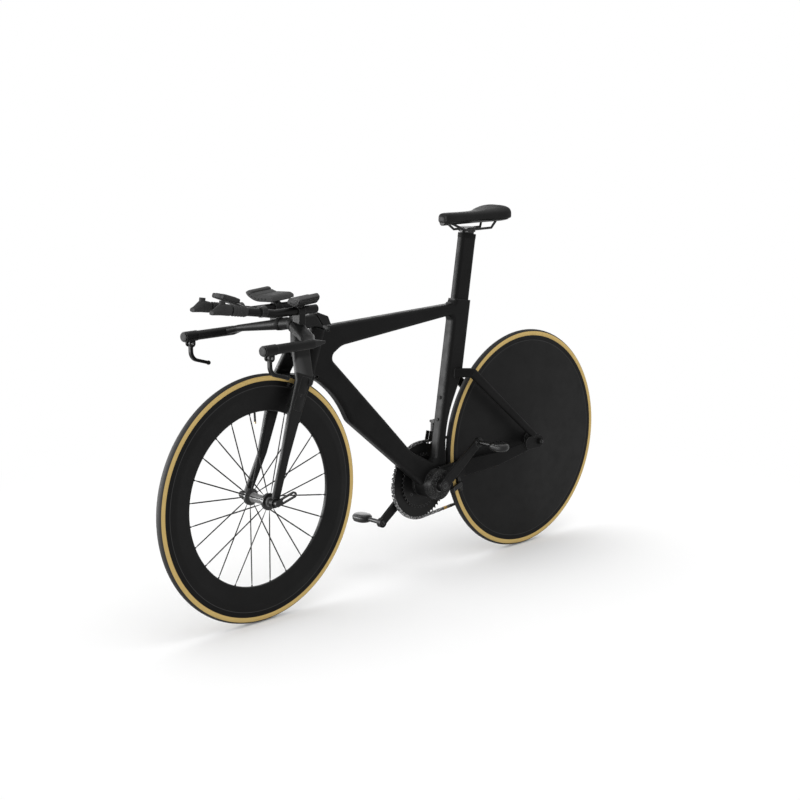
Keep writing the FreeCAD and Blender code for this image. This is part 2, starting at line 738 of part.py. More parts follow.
def end_trim(centre, upward, half_width):
    """Block that stands on a plane square to the steering axis and trims what passes it."""
    half = STEER_AHEAD * (HEAD_TUBE_RADIUS + OVERRUN)
    rise = upward * HEAD_TUBE_RADIUS
    outline = plain([centre - half, centre + half, centre + half + rise, centre - half + rise])
    return plate(outline, -half_width, half_width)


def bottle_bolts():
    bolts = []
    for place, inward in bottle_places():
        shank = rod(place, place + inward * (BOTTLE_BOLT_DEPTH / 2), BOLT_RADIUS - GLUE_GAP)
        head = rod(place - inward * BOLT_HEAD_HEIGHT, place, BOLT_HEAD_RADIUS)
        bolts.append(shank.fuse(head))
    return bolts


def head_bearings():
    top = steer_at(HEAD_TOP_HEIGHT)
    low = steer_at(HEAD_BOTTOM_HEIGHT)
    rise = STEER_WAY * HEAD_BEARING_HEIGHT
    inner = STEERER_RADIUS + RUN_GAP
    upper = tube(top - rise, top, HEAD_BEARING_RADIUS, inner)
    return [upper, tube(low, low + rise, HEAD_BEARING_RADIUS, inner)]


def crank_bearings():
    inner = SPINDLE_RADIUS + RUN_GAP
    rings = []
    for start in (CRANK_SHELL_LEFT - CRANK_BEARING_WIDTH, -CRANK_SHELL_RIGHT):
        rings.append(cross_tube(CRANK_AXLE, start, start + CRANK_BEARING_WIDTH, CRANK_BEARING_RADIUS, inner))
    return rings


# Rear triangle

def dropout_places():
    return -(REAR_HUB_WIDTH / 2 + DROPOUT_THICKNESS), -REAR_HUB_WIDTH / 2


def dropout(hanger):
    """Rear end plate with an axle hole, and the derailleur hanger on the right one."""
    start, end = dropout_places()
    middle = V(0, (start + end) / 2, 0)
    far = REAR_AXLE + V(DROPOUT_REACH, 0, 0)
    eye = bar(REAR_AXLE + middle, far + middle, DROPOUT_RADIUS * 2, DROPOUT_THICKNESS, SIDEWAYS)
    if hanger:
        eye = fused([eye, hanger_bar(0)])
        low = REAR_AXLE - V(0, 0, HANGER_DROP)
        eye = eye.cut(cross_rod(low, start - OVERRUN, end + OVERRUN, KNUCKLE_PIN_RADIUS + GLUE_GAP))
    return eye.cut(cross_rod(REAR_AXLE, start - OVERRUN, end + OVERRUN, AXLE_STUB_RADIUS + GLUE_GAP))


def hanger_bar(spare):
    start, end = dropout_places()
    middle = V(0, (start + end) / 2, 0)
    low = REAR_AXLE - V(0, 0, HANGER_DROP)
    width = (HANGER_RADIUS + spare) * 2
    return bar(REAR_AXLE + middle, low + middle, width, DROPOUT_THICKNESS + 2 * spare, SIDEWAYS)


def rear_dropouts():
    return Part.makeCompound([dropout(True), mirrored(dropout(False))])


def stay(stations):
    """Ruled tube through (point, depth) stations with round-sided sections square to the path."""
    wires = []
    for index, (place, depth) in enumerate(stations):
        before = stations[max(index - 1, 0)][0]
        after = stations[min(index + 1, len(stations) - 1)][0]
        along = V(after.x - before.x, 0, after.z - before.z).normalize()
        across = V(-along.z, 0, along.x)
        wires.append(stadium(place, across, SIDEWAYS, depth, STAY_THICKNESS))
    return loft(wires)


def dropout_room():
    start, end = dropout_places()
    middle = V(0, (start + end) / 2, 0)
    far = REAR_AXLE + V(DROPOUT_REACH, 0, 0) + middle
    width = (DROPOUT_RADIUS + GLUE_GAP) * 2
    return mirrored(bar(REAR_AXLE + middle, far, width, DROPOUT_THICKNESS + 2 * GLUE_GAP, SIDEWAYS))


def seat_stay(frame):
    tip = REAR_AXLE + V(STAY_TIP_AHEAD, STAY_TIP_SPREAD, STAY_TIP_AHEAD)
    bend = point(CRANK_AXLE.x - SEAT_STAY_BEND, SEAT_STAY_HEIGHT, STAY_SPREAD)
    root = point(CRANK_AXLE.x - SEAT_STAY_ROOT, SEAT_STAY_HEIGHT, FRAME_WIDTH / 4)
    body = stay([(root, SEAT_STAY_DEPTH), (bend, SEAT_STAY_DEPTH), (tip, SEAT_STAY_TIP_DEPTH)])
    return body.cut(frame).cut(dropout_room())


def chain_stay(frame):
    rows = zip(CHAIN_STAY_SETBACKS, CHAIN_STAY_RISES, CHAIN_STAY_SPREADS, CHAIN_STAY_DEPTHS)
    stations = [(CRANK_AXLE + V(-setback, spread, rise), depth) for setback, rise, spread, depth in rows]
    tip = REAR_AXLE + V(STAY_TIP_AHEAD, STAY_TIP_SPREAD, -CHAIN_STAY_TIP_DROP)
    body = stay(stations + [(tip, CHAIN_STAY_TIP_DEPTH)])
    body = body.cut(frame).cut(dropout_room())
    return body.cut(rear_brake_pin(BRAKE_PIN_RADIUS + GLUE_GAP))


def largest(body):
    return max(body.Solids, key=lambda solid: solid.Volume)


# Seat post and saddle

def post_top():
    return seat_front(POST_END) - SEAT_AHEAD * (SEAT_TUBE_CHORD / 2)


def seat_post():
    bottom = SEAT_TUBE_LENGTH - POST_INSERT
    return plate(post_section(bottom, 0), 0, POST_END - bottom, SEAT_WAY)


def rail():
    middle = post_top().x
    nose = point(middle + RAIL_NOSE, RAIL_HEIGHT + RAIL_RISE, RAIL_NOSE_SPREAD)
    front = point(middle + RAIL_FRONT, RAIL_HEIGHT, RAIL_SPREAD)
    rear = point(middle - RAIL_REAR, RAIL_HEIGHT, RAIL_SPREAD)
    tail = point(middle - RAIL_TAIL, RAIL_HEIGHT + RAIL_RISE, RAIL_TAIL_SPREAD)
    bends = [Part.makeSphere(RAIL_RADIUS, front), Part.makeSphere(RAIL_RADIUS, rear)]
    runs = [rod(nose, front, RAIL_RADIUS), rod(front, rear, RAIL_RADIUS), rod(rear, tail, RAIL_RADIUS)]
    return fused(runs + bends)


def clamp_block(low, high):
    """Round-ended block across the post, bored for both rails."""
    centre = post_top()
    outline = stadium(V(centre.x, 0, 0), SIDEWAYS, V(1, 0, 0), CLAMP_WIDTH, CLAMP_LENGTH)
    block = plate(outline, low, high, UP)
    for spread in (RAIL_SPREAD, -RAIL_SPREAD):
        start = point(centre.x - CLAMP_LENGTH, RAIL_HEIGHT, spread)
        block = block.cut(rod(start, start + V(CLAMP_LENGTH * 2, 0, 0), RAIL_RADIUS + RUN_GAP))
    return block


def clamp_cradle():
    """Lower clamp half with a neck that stands on the slanted top of the post."""
    block = clamp_block(RAIL_HEIGHT - CLAMP_CAP_HEIGHT, RAIL_HEIGHT - GLUE_GAP)
    neck = plate(post_section(POST_END, -CLAMP_NECK_INSET), GLUE_GAP, RAIL_LIFT, SEAT_WAY)
    neck = neck.cut(clamp_block(RAIL_HEIGHT - CLAMP_CAP_HEIGHT, RAIL_HEIGHT + SADDLE_BASE_DEPTH * 2))
    return fused([block, neck])


def clamp_cap():
    return clamp_block(RAIL_HEIGHT + GLUE_GAP, RAIL_HEIGHT + CLAMP_CAP_HEIGHT)


def saddle_stations():
    """X, half width and crown of each section from the nose to the tail."""
    rows = zip(SADDLE_STATION_SHARES, SADDLE_WIDTH_SHARES, SADDLE_CROWN_SHARES)
    length = SADDLE_TAIL + SADDLE_NOSE
    nose = post_top().x + SADDLE_NOSE
    half = SADDLE_WIDTH / 2
    return [(nose - length * along, half * wide, SADDLE_CROWN * high) for along, wide, high in rows]


def pad_section(x, half, crown):
    """Flat underside, bulging sides and an arched top."""
    low = SADDLE_SEAT_HEIGHT
    side = low + crown * SADDLE_SIDE_SHARE
    brim = low + crown * SADDLE_BRIM_SHARE
    brow = half * SADDLE_BROW_SHARE
    edge = half * SADDLE_FLOOR_SHARE
    left = Part.Arc(point(x, low, edge), point(x, side, half), point(x, brim, brow)).toShape()
    top = Part.Arc(point(x, brim, brow), point(x, low + crown, 0), point(x, brim, -brow)).toShape()
    right = Part.Arc(point(x, brim, -brow), point(x, side, -half), point(x, low, -edge)).toShape()
    floor = Part.makeLine(point(x, low, -edge), point(x, low, edge))
    return Part.Wire([left, top, right, floor])


def base_section(x, half, crown):
    top = SADDLE_SEAT_HEIGHT - GLUE_GAP
    edge = half * SADDLE_FLOOR_SHARE
    keel = point(x, top - SADDLE_BASE_DEPTH, 0)
    belly = Part.Arc(point(x, top, edge), keel, point(x, top, -edge)).toShape()
    return Part.Wire([belly, Part.makeLine(point(x, top, -edge), point(x, top, edge))])


def saddle_pad():
    return Part.makeLoft([pad_section(*row) for row in saddle_stations()], True, False)


def saddle_base():
    body = Part.makeLoft([base_section(*row) for row in saddle_stations()], True, False)
    return body.cut(rail()).cut(mirrored(rail()))


# Fork, steerer and stem

def fork_leg():
    spreads = (LEG_TIP_SPREAD, FORK_SPREAD, FORK_SPREAD, FORK_SPREAD, CROWN_TOP_SPREAD)
    ahead = V(1, 0, 0)
    rows = zip(LEG_RISES, LEG_SETBACKS, LEG_CHORDS, LEG_WIDTHS, spreads)
    wires = []
    for rise, setback, chord, width, spread in rows:
        wires.append(stadium(FRONT_AXLE + V(-setback, spread, rise), ahead, SIDEWAYS, chord, width))
    return loft(wires)


def crown_plate():
    """Lower crown around the steerer, reaching out to both legs."""
    base = steer_at(HEAD_BOTTOM_HEIGHT) - STEER_WAY * BODY_GAP
    eye = rod(base - STEER_WAY * CROWN_PLATE_HEIGHT, base, HEAD_TUBE_RADIUS)
    root = base - STEER_WAY * (CROWN_PLATE_HEIGHT / 2)
    tip = point(FRONT_AXLE.x - LEG_SETBACKS[3], base.z - CROWN_PLATE_HEIGHT / 2, FORK_SPREAD)
    across = V(root.x - tip.x, root.y - tip.y, 0).normalize()
    wide = UP.cross(across)
    arm = loft([stadium(place, wide, UP, LEG_CHORDS[2], CROWN_ARM_DEPTH) for place in (root, tip)])
    trim = end_trim(base, STEER_WAY, FORK_SPREAD * 2)
    return [eye, arm.cut(trim), mirrored(arm).cut(trim)]


def mast():
    ahead = V(1, 0, 0)
    low = stadium(point(MAST_CENTRE, MAST_BASE), ahead, SIDEWAYS, MAST_CHORD, MAST_WIDTH)
    high = stadium(point(MAST_CENTRE, MAST_TOP), ahead, SIDEWAYS, MAST_CHORD, MAST_WIDTH)
    return loft([low, high])


def fork_tab():
    """Dropout eye at the foot of a leg."""
    half = FORK_HUB_WIDTH / 2
    return cross_rod(FRONT_AXLE, half, half + LEG_WIDTHS[0], DROPOUT_TAB_RADIUS)


def fork():
    leg = fork_leg().fuse(fork_tab())
    body = fused([mast(), leg, mirrored(leg)] + crown_plate())
    body = arc_cut(body, FRONT_AXLE, WHEEL_RADIUS + CROWN_TYRE_GAP, CROWN_TYRE_WIDTH)
    body = body.cut(cross_rod(FRONT_AXLE, -WHEELBASE, WHEELBASE, AXLE_STUB_RADIUS + GLUE_GAP))
    half = FORK_HUB_WIDTH / 2
    body = body.cut(cross_rod(FRONT_AXLE, -half, half, DROPOUT_TAB_RADIUS + GLUE_GAP))
    return fused([body, steerer(), front_ears(), mirrored(front_ears())])


def steerer():
    low = steer_at(HEAD_BOTTOM_HEIGHT) - STEER_WAY * (CROWN_PLATE_HEIGHT / 3)
    return rod(low, steer_at(STEM_TOP - STEM_EDGE), STEERER_RADIUS)


def stem_foot():
    """Front and rear ends of the stem's underside on top of the head tube."""
    base = steer_at(HEAD_TOP_HEIGHT) + STEER_WAY * BODY_GAP
    return base + STEER_AHEAD * HEAD_TUBE_RADIUS, base - STEER_AHEAD * HEAD_TUBE_RADIUS


def stem():
    """Block that joins the top of the steerer to the mast and carries the base bar."""
    front_foot, rear_foot = stem_foot()
    outline = plain([
        rear_foot,
        front_foot,
        point(MAST_CENTRE - MAST_CHORD / 2, MAST_TOP + GLUE_GAP),
        point(BAR_CENTRE, MAST_TOP + GLUE_GAP),
        point(BAR_CENTRE, STEM_TOP),
        point(STEM_REAR, STEM_TOP),
    ])
    body = eased(plate(outline, -STEM_WIDTH / 2, STEM_WIDTH / 2), STEM_EDGE)
    return body.cut(steerer_room())


def steerer_room():
    low = steer_at(HEAD_TOP_HEIGHT) - STEER_WAY * OVERRUN
    return rod(low, steer_at(STEM_TOP + OVERRUN), STEERER_RADIUS + GLUE_GAP)


def stem_cover():
    """Faceted fairing behind the stem, above the top tube."""
    front_foot, rear_foot = stem_foot()
    crest = point(STEM_REAR, STEM_TOP)
    low = HEAD_TOP_HEIGHT + COVER_LIFT
    share = (low - rear_foot.z) / (crest.z - rear_foot.z)
    gap = V(GLUE_GAP * 2, 0, 0)
    outline = plain([
        rear_foot + (crest - rear_foot) * share - gap,
        crest - gap,
        point(STEM_REAR - GLUE_GAP, COVER_TOP),
        point(COVER_KNEE_X, COVER_KNEE_HEIGHT),
        point(COVER_REAR, low),
    ])
    return plate(outline, -COVER_WIDTH / 2, COVER_WIDTH / 2).cut(steerer_room())


# Base bar, levers and extensions

def wing_section(share):
    """Section of the base bar at a share of the way from the middle to the wing's end."""
    spread = WING_SPREAD * share
    centre = BAR_CENTRE + (WING_CENTRE - BAR_CENTRE) * share
    height = BAR_HEIGHT + (WING_HEIGHT - BAR_HEIGHT) * share
    chord = BAR_CHORD + (WING_CHORD - BAR_CHORD) * share
    depth = BAR_DEPTH + (WING_DEPTH - BAR_DEPTH) * share
    return stadium(point(centre, height, spread), V(1, 0, 0), UP, chord, depth)


def horn_section(x, depth, width):
    return stadium(point(x, HORN_HEIGHT, HORN_SPREAD), UP, SIDEWAYS, depth, width)


def base_bar():
    tail = HORN_REAR + HORN_TAIL_LENGTH
    horn = loft([
        horn_section(HORN_REAR, HORN_TAIL_DEPTH, HORN_TAIL_WIDTH),
        horn_section(tail, HORN_DEPTH, HORN_WIDTH),
        horn_section(HORN_FRONT, HORN_DEPTH, HORN_WIDTH),
    ])
    end = point(WING_CENTRE + WING_CHORD / 2, HORN_HEIGHT, HORN_SPREAD)
    root = stadium(end, V(1, 0, 0), UP, WING_CHORD, WING_DEPTH)
    wing = loft([wing_section(0), wing_section(1), root])
    bar_body = fused([wing, mirrored(wing), horn, mirrored(horn)])
    return bar_body.cut(stem())


def lever_housing():
    """Barrel on the end of a horn with a slotted ear below it for the lever."""
    pin = point(LEVER_PIN_X, LEVER_PIN_HEIGHT, HORN_SPREAD)
    start = point(HORN_FRONT + HOUSING_GAP, HORN_HEIGHT, HORN_SPREAD)
    barrel = rod(start, point(HOUSING_FRONT, HORN_HEIGHT, HORN_SPREAD), HOUSING_RADIUS)
    above = point(LEVER_PIN_X, HORN_HEIGHT, HORN_SPREAD)
    ear = bar(above, pin, LEVER_EAR_WIDTH, LEVER_EAR_WIDTH, SIDEWAYS)
    slot = LEVER_WIDTH + 2 * BODY_GAP
    rear = HORN_FRONT - OVERRUN
    length = LEVER_PIN_X + LEVER_EAR_WIDTH / 2 - rear
    height = LEVER_SLOT_RISE + LEVER_EAR_WIDTH
    room = Part.makeBox(length, slot, height)
    room.translate(V(rear, HORN_SPREAD - slot / 2, LEVER_PIN_HEIGHT - LEVER_EAR_WIDTH))
    return fused([barrel, ear]).cut(room).cut(lever_pin(GLUE_GAP))


def lever_pin(spare=0):
    half = LEVER_EAR_WIDTH / 2
    pin = point(LEVER_PIN_X, LEVER_PIN_HEIGHT)
    return cross_rod(pin, HORN_SPREAD - half, HORN_SPREAD + half, LEVER_PIN_RADIUS + spare)


def ribbon(places, width, bend):
    """Outline of a strip of even width along points in the side view, bent on one radius, with round ends."""
    ways = [(after - before).normalize() for before, after in zip(places, places[1:])]
    near = []
    far = []
    for index, place in enumerate(places):
        before = ways[max(index - 1, 0)]
        after = ways[min(index, len(ways) - 1)]
        middle = (before + after).normalize()
        reach = width / 2 / math.cos(before.getAngle(after) / 2)
        shift = V(-middle.z, 0, middle.x) * reach
        turn = before.cross(after).y
        half = math.copysign(width / 2, turn)
        near.append((place + shift, bend + half if turn else width / 2))
        far.append((place - shift, bend - half if turn else width / 2))
    return rounded(near + far[::-1])


def brake_lever():
    places = [
        point(LEVER_PIN_X, LEVER_PIN_HEIGHT),
        point(LEVER_PIN_X - LEVER_KNEE_BACK, LEVER_PIN_HEIGHT - LEVER_KNEE_DROP),
        point(LEVER_PIN_X - LEVER_BALL_BACK, LEVER_PIN_HEIGHT - LEVER_BALL_DROP),
    ]
    low = HORN_SPREAD - LEVER_WIDTH / 2
    high = HORN_SPREAD + LEVER_WIDTH / 2
    blade = plate(ribbon(places, LEVER_DEPTH, LEVER_BEND), low, high)
    eye = cross_rod(places[0], low, high, LEVER_EYE_RADIUS)
    ball = Part.makeSphere(LEVER_BALL_RADIUS, places[-1] + SIDEWAYS * HORN_SPREAD, SIDEWAYS)
    bore = cross_rod(places[0], low - OVERRUN, high + OVERRUN, LEVER_PIN_RADIUS + RUN_GAP)
    return fused([blade, eye, ball]).cut(bore)


EXTENSION_TIP = point(EXTENSION_TIP_X, EXTENSION_HEIGHT + EXTENSION_TIP_RISE, EXTENSION_TIP_SPREAD)
EXTENSION_KNEE = point(EXTENSION_RISE_X, EXTENSION_HEIGHT + EXTENSION_RISE, EXTENSION_SPREAD)


def extension():
    places = [
        point(EXTENSION_REAR, EXTENSION_HEIGHT, EXTENSION_SPREAD),
        point(EXTENSION_BEND, EXTENSION_HEIGHT, EXTENSION_SPREAD),
        EXTENSION_KNEE,
        EXTENSION_TIP,
    ]
    runs = [rod(a, b, EXTENSION_RADIUS) for a, b in zip(places, places[1:])]
    bends = [Part.makeSphere(EXTENSION_RADIUS, place) for place in places[1:3]]
    return fused(runs + bends)


def grip():
    """Ribbed sleeve on the straight front run of an extension."""
    run = EXTENSION_TIP - EXTENSION_KNEE
    way = V(run).normalize()
    start = EXTENSION_KNEE + run * GRIP_START_SHARE
    length = run.Length * (GRIP_END_SHARE - GRIP_START_SHARE)
    step = length / GRIP_RIBS
    outer = EXTENSION_RADIUS + GRIP_WALL
    body = rod(start, start + way * length, outer)
    for index in range(GRIP_RIBS):
        low = start + way * (step * index)
        crest = low + way * (step * GRIP_CREST_SHARE)
        rise = Part.makeCone(outer, outer + GRIP_RIB, step * GRIP_CREST_SHARE, low, way)
        fall = Part.makeCone(outer + GRIP_RIB, outer, step * GRIP_FALL_SHARE, crest, way)
        body = body.fuse(rise).fuse(fall)
    return body.cut(rod(start - way * OVERRUN, start + way * (length + OVERRUN), EXTENSION_RADIUS + GLUE_GAP))


def shifter_axes():
    way = (EXTENSION_TIP - EXTENSION_KNEE).normalize()
    across = UP.cross(way).normalize()
    return way, across, way.cross(across)


def shifter():
    way, across, upward = shifter_axes()
    start = EXTENSION_TIP + way * GLUE_GAP
    middle = start + way * (SHIFTER_LENGTH / 2) + upward * SHIFTER_MIDDLE_RISE
    nose = start + way * SHIFTER_LENGTH - upward * SHIFTER_NOSE_DROP
    root_height = SHIFTER_HEIGHT * SHIFTER_ROOT_SHARE
    root_width = SHIFTER_WIDTH * SHIFTER_ROOT_SHARE
    wires = [
        stadium(start, upward, across, root_height, root_width),
        stadium(middle, upward, across, SHIFTER_HEIGHT, SHIFTER_WIDTH),
        stadium(nose, across, -upward, SHIFTER_NOSE_WIDTH, SHIFTER_NOSE_HEIGHT),
    ]
    body = loft(wires)
    return body.cut(button(BODY_GAP, BUTTON_TRAVEL + BODY_GAP))


def button(spare=0, depth=0):
    """Rounded shift button sunk in the top of a shifter."""
    way, across, upward = shifter_axes()
    top = EXTENSION_TIP + way * (SHIFTER_LENGTH * BUTTON_PLACE_SHARE) + upward * (SHIFTER_HEIGHT / 2)
    outline = stadium(top, way, across, BUTTON_LENGTH + 2 * spare, BUTTON_WIDTH + 2 * spare)
    return plate(outline, -BUTTON_SINK - depth, BUTTON_HEIGHT, upward)


def riser_ring(spare):
    top = point(RISER_X, EXTENSION_HEIGHT, EXTENSION_SPREAD)
    half = V(RISER_LENGTH / 2 + spare, 0, 0)
    return rod(top - half, top + half, RISER_RADIUS + spare)


def riser():
    """Clamp column between the base bar and an extension."""
    column = Part.makeBox(RISER_LENGTH, RISER_WIDTH, EXTENSION_LIFT)
    column.translate(V(RISER_X - RISER_LENGTH / 2, EXTENSION_SPREAD - RISER_WIDTH / 2, BAR_HEIGHT))
    return fused([riser_ring(0), column]).cut(extension_room())


def pad_centre():
    """Middle of the pad's curved outer wing, above the line where the flat part ends."""
    top = EXTENSION_HEIGHT + EXTENSION_RADIUS + CUP_RISE + CUP_WALL
    return point(PAD_X, top + PAD_CURVE, PAD_SPREAD)


def trough(inner, outer, inset):
    """Sheet with a flat inner part and a wing that curls up on the outer side, cut slanting at both ends."""
    centre = pad_centre()
    last = PAD_OUTER_ANGLE - math.degrees(inset / outer)
    edges = []
    ends = []
    for radius in (inner, outer):
        spots = []
        for angle in (0, last / 2, last):
            lean = math.radians(angle)
            spots.append(centre + V(0, math.sin(lean), -math.cos(lean)) * radius)
        flat = spots[0] - SIDEWAYS * (PAD_FLAT - inset)
        edges.append(Part.makeLine(flat, spots[0]))
        edges.append(Part.Arc(*spots).toShape())
        ends.append((flat, spots[2]))
    edges.append(Part.makeLine(ends[0][0], ends[1][0]))
    edges.append(Part.makeLine(ends[0][1], ends[1][1]))
    wire = Part.Wire(Part.__sortEdges__(edges))
    body = plate(wire, -PAD_LENGTH, PAD_LENGTH, V(1, 0, 0))
    half = PAD_LENGTH / 2 - inset
    for side in (1, -1):
        block = Part.makeBox(PAD_LENGTH * 2, PAD_LENGTH * 4, PAD_CURVE * 4)
        block.translate(V(half, -PAD_LENGTH * 2, -PAD_CURVE * 2))
        if side < 0:
            block = block.mirror(V(0, 0, 0), V(1, 0, 0))
        block.rotate(V(0, 0, 0), UP, -PAD_SKEW)
        block.translate(centre)
        body = body.cut(block)
    body.rotate(point(PAD_X, centre.z - PAD_CURVE), SIDEWAYS, PAD_PITCH)
    return body


def pad_cup():
    cup = trough(PAD_CURVE, PAD_CURVE + CUP_WALL, PAD_EDGE)
    base = point(PAD_X, EXTENSION_HEIGHT, EXTENSION_SPREAD)
    top = EXTENSION_RADIUS + CUP_RISE + CUP_WALL
    foot = rod(base, base + UP * (top + PAD_CURVE / 2), CUP_FOOT_RADIUS)
    foot = largest(foot.cut(trough(PAD_CURVE / 2, PAD_CURVE + CUP_WALL / 2, -PAD_LENGTH / 4)))
    return fused([cup, foot.cut(riser_ring(GLUE_GAP))]).cut(extension_room())


def extension_room():
    start = point(EXTENSION_REAR, EXTENSION_HEIGHT, EXTENSION_SPREAD)
    end = point(EXTENSION_BEND, EXTENSION_HEIGHT, EXTENSION_SPREAD)
    return rod(start - V(PAD_LENGTH, 0, 0), end, EXTENSION_RADIUS + GLUE_GAP)


def arm_pad():
    """Soft pad in its cup, with two channels along the arm."""
    outer = PAD_CURVE - CUP_GAP
    pad = trough(outer - PAD_THICKNESS, outer, 0)
    pad = pad.makeFillet(PAD_EDGE, pad.Edges)
    centre = pad_centre()
    reach = V(PAD_LENGTH, 0, 0)
    for share in PAD_GROOVE_SHARES:
        angle = math.radians(PAD_OUTER_ANGLE * share)
        place = centre + V(0, math.sin(angle), -math.cos(angle)) * (outer - PAD_THICKNESS)
        groove = rod(place - reach, place + reach, PAD_GROOVE)
        groove.rotate(point(PAD_X, centre.z - PAD_CURVE), SIDEWAYS, PAD_PITCH)
        pad = pad.cut(groove)
    return pad


def computer():
    body = Part.makeBox(COMPUTER_LENGTH, COMPUTER_WIDTH, COMPUTER_DEPTH)
    body.translate(V(-COMPUTER_LENGTH / 2, -COMPUTER_WIDTH / 2, -COMPUTER_DEPTH / 2))
    body = eased(body, COMPUTER_EDGE, UP)
    body.rotate(V(0, 0, 0), SIDEWAYS, -COMPUTER_TILT)
    body.translate(point(COMPUTER_X, COMPUTER_HEIGHT))
    return body


def computer_mount():
    """Bracket with a clamp ring on each extension and a post up to the computer."""
    ahead = V(1, 0, 0)
    centre = point(EXTENSION_RISE_X - MOUNT_LENGTH, EXTENSION_KNEE.z)
    half = ahead * (MOUNT_WIDTH / 2)
    spread = V(0, EXTENSION_SPREAD, 0)
    ring = EXTENSION_RADIUS + MOUNT_WALL
    hoops = [rod(centre + spread * side - half, centre + spread * side + half, ring) for side in (1, -1)]
    bridge = bar(centre + spread, centre - spread, MOUNT_WIDTH, MOUNT_WALL * 2, UP)
    arm = loft([
        stadium(centre, ahead, SIDEWAYS, MOUNT_LENGTH, MOUNT_WIDTH),
        stadium(computer_foot(), ahead, SIDEWAYS, MOUNT_FOOT_LENGTH, MOUNT_FOOT_WIDTH),
    ])
    body = fused(hoops + [bridge, arm]).cut(computer())
    return largest(body.cut(extension()).cut(mirrored(extension())))


def computer_foot():
    lean = math.radians(COMPUTER_TILT)
    offset = V(math.sin(lean), 0, -math.cos(lean)) * (COMPUTER_DEPTH / 2 - GLUE_GAP)
    return point(COMPUTER_X, COMPUTER_HEIGHT) + offset


# Wheels

def tyre(centre):
    middle = WHEEL_RADIUS - TYRE_SECTION_RADIUS
    torus = Part.makeTorus(middle, TYRE_SECTION_RADIUS, centre, SIDEWAYS)
    return torus.cut(Part.makeTorus(middle, TYRE_SECTION_RADIUS - TYRE_WALL, centre, SIDEWAYS))


def tyre_bed(body, centre):
    middle = WHEEL_RADIUS - TYRE_SECTION_RADIUS
    return body.cut(Part.makeTorus(middle, TYRE_SECTION_RADIUS + GLUE_GAP * 3, centre, SIDEWAYS))


def rim_profile(wall, bed):
    """Half-section corners of the front rim, inset by a wall, with a deeper inset at the tyre bed."""
    track = RIM_OUTER_RADIUS - RIM_TRACK_DEPTH
    belly = (track + RIM_INNER_RADIUS) / 2 + RIM_TRACK_DEPTH
    nose = RIM_INNER_RADIUS + wall * 2
    half_track = RIM_TRACK_WIDTH / 2 - wall
    half_belly = RIM_BELLY_WIDTH / 2 - wall
    half_nose = RIM_NOSE_WIDTH / 2 - wall
    outer = RIM_OUTER_RADIUS - bed
    rows = [(outer, half_track, 0), (track, half_track, 0), (belly, half_belly, SOFT_CORNER / 2)]
    rows.append((nose, half_nose, half_nose * RIM_NOSE_SHARE))
    return rows + [(radius, -offset, rounding) for radius, offset, rounding in reversed(rows)]


def spoke_ends(index):
    angle = 360 / SPOKES * (index + 0.5)
    way = side_way(angle)
    offset = SIDEWAYS * (HUB_FLANGE_SPREAD if index % 2 else -HUB_FLANGE_SPREAD)
    start = FRONT_AXLE + way * (HUB_FLANGE_RADIUS - SPOKE_SEAT) + offset
    return start, FRONT_AXLE + way * (RIM_INNER_RADIUS + RIM_WALL * 3)


def spokes():
    bodies = []
    for index in range(SPOKES):
        start, end = spoke_ends(index)
        way = (end - start).normalize()
        nipple = rod(end - way * NIPPLE_LENGTH, end, NIPPLE_RADIUS)
        bodies.append(rod(start, end, SPOKE_RADIUS).fuse(nipple))
    return Part.makeCompound(bodies)


def front_rim():
    body = turned(rim_profile(0, 0), FRONT_AXLE)
    body = tyre_bed(body, FRONT_AXLE)
    bed = RIM_OUTER_RADIUS - WHEEL_RADIUS + 2 * TYRE_SECTION_RADIUS + RIM_BED_WALL
    body = body.cut(turned(rim_profile(RIM_WALL, bed), FRONT_AXLE))
    holes = []
    for index in range(SPOKES):
        start, end = spoke_ends(index)
        way = (end - start).normalize()
        holes.append(rod(end - way * NIPPLE_LENGTH, end + way * RIM_WALL, NIPPLE_RADIUS + GLUE_GAP * 2))
    holes.append(valve(GLUE_GAP * 2))
    return body.cut(Part.makeCompound(holes))


def valve(spare=0):
    way = side_way(VALVE_ANGLE)
    start = FRONT_AXLE + way * (RIM_INNER_RADIUS - VALVE_LENGTH)
    end = FRONT_AXLE + way * (WHEEL_RADIUS - TYRE_SECTION_RADIUS * 2 - RIM_BED_WALL - GLUE_GAP)
    return rod(start, end, VALVE_RADIUS + spare)


def front_bearings():
    half = HUB_HALF_WIDTH
    ring = cross_tube(FRONT_AXLE, half - HUB_BEARING_WIDTH, half, HUB_BEARING_RADIUS, AXLE_RADIUS + RUN_GAP)
    return [ring, mirrored(ring)]


def front_hub():
    half = HUB_HALF_WIDTH
    lip = HUB_FLANGE_SPREAD + HUB_FLANGE_WIDTH / 2
    web = HUB_FLANGE_SPREAD - HUB_FLANGE_WIDTH / 2
    rows = [(0, half, 0), (HUB_RADIUS, half, 0), (HUB_RADIUS, lip, 0), (HUB_FLANGE_RADIUS, lip, 0)]
    rows += [(HUB_FLANGE_RADIUS, web, 0), (HUB_RADIUS, web - HUB_FLANGE_WIDTH, HUB_FLANGE_WIDTH)]
    rows += [(radius, -offset, rounding) for radius, offset, rounding in reversed(rows)]
    body = turned(rows, FRONT_AXLE)
    body = body.cut(cross_rod(FRONT_AXLE, -half, half, AXLE_RADIUS + BODY_GAP * 2))
    seat = cross_rod(FRONT_AXLE, half - HUB_BEARING_WIDTH, half + OVERRUN, HUB_BEARING_RADIUS + GLUE_GAP)
    body = body.cut(seat).cut(mirrored(seat))
    sockets = []
    for index in range(SPOKES):
        start, end = spoke_ends(index)
        sockets.append(rod(start, end, SPOKE_RADIUS + GLUE_GAP))
    return body.cut(Part.makeCompound(sockets))


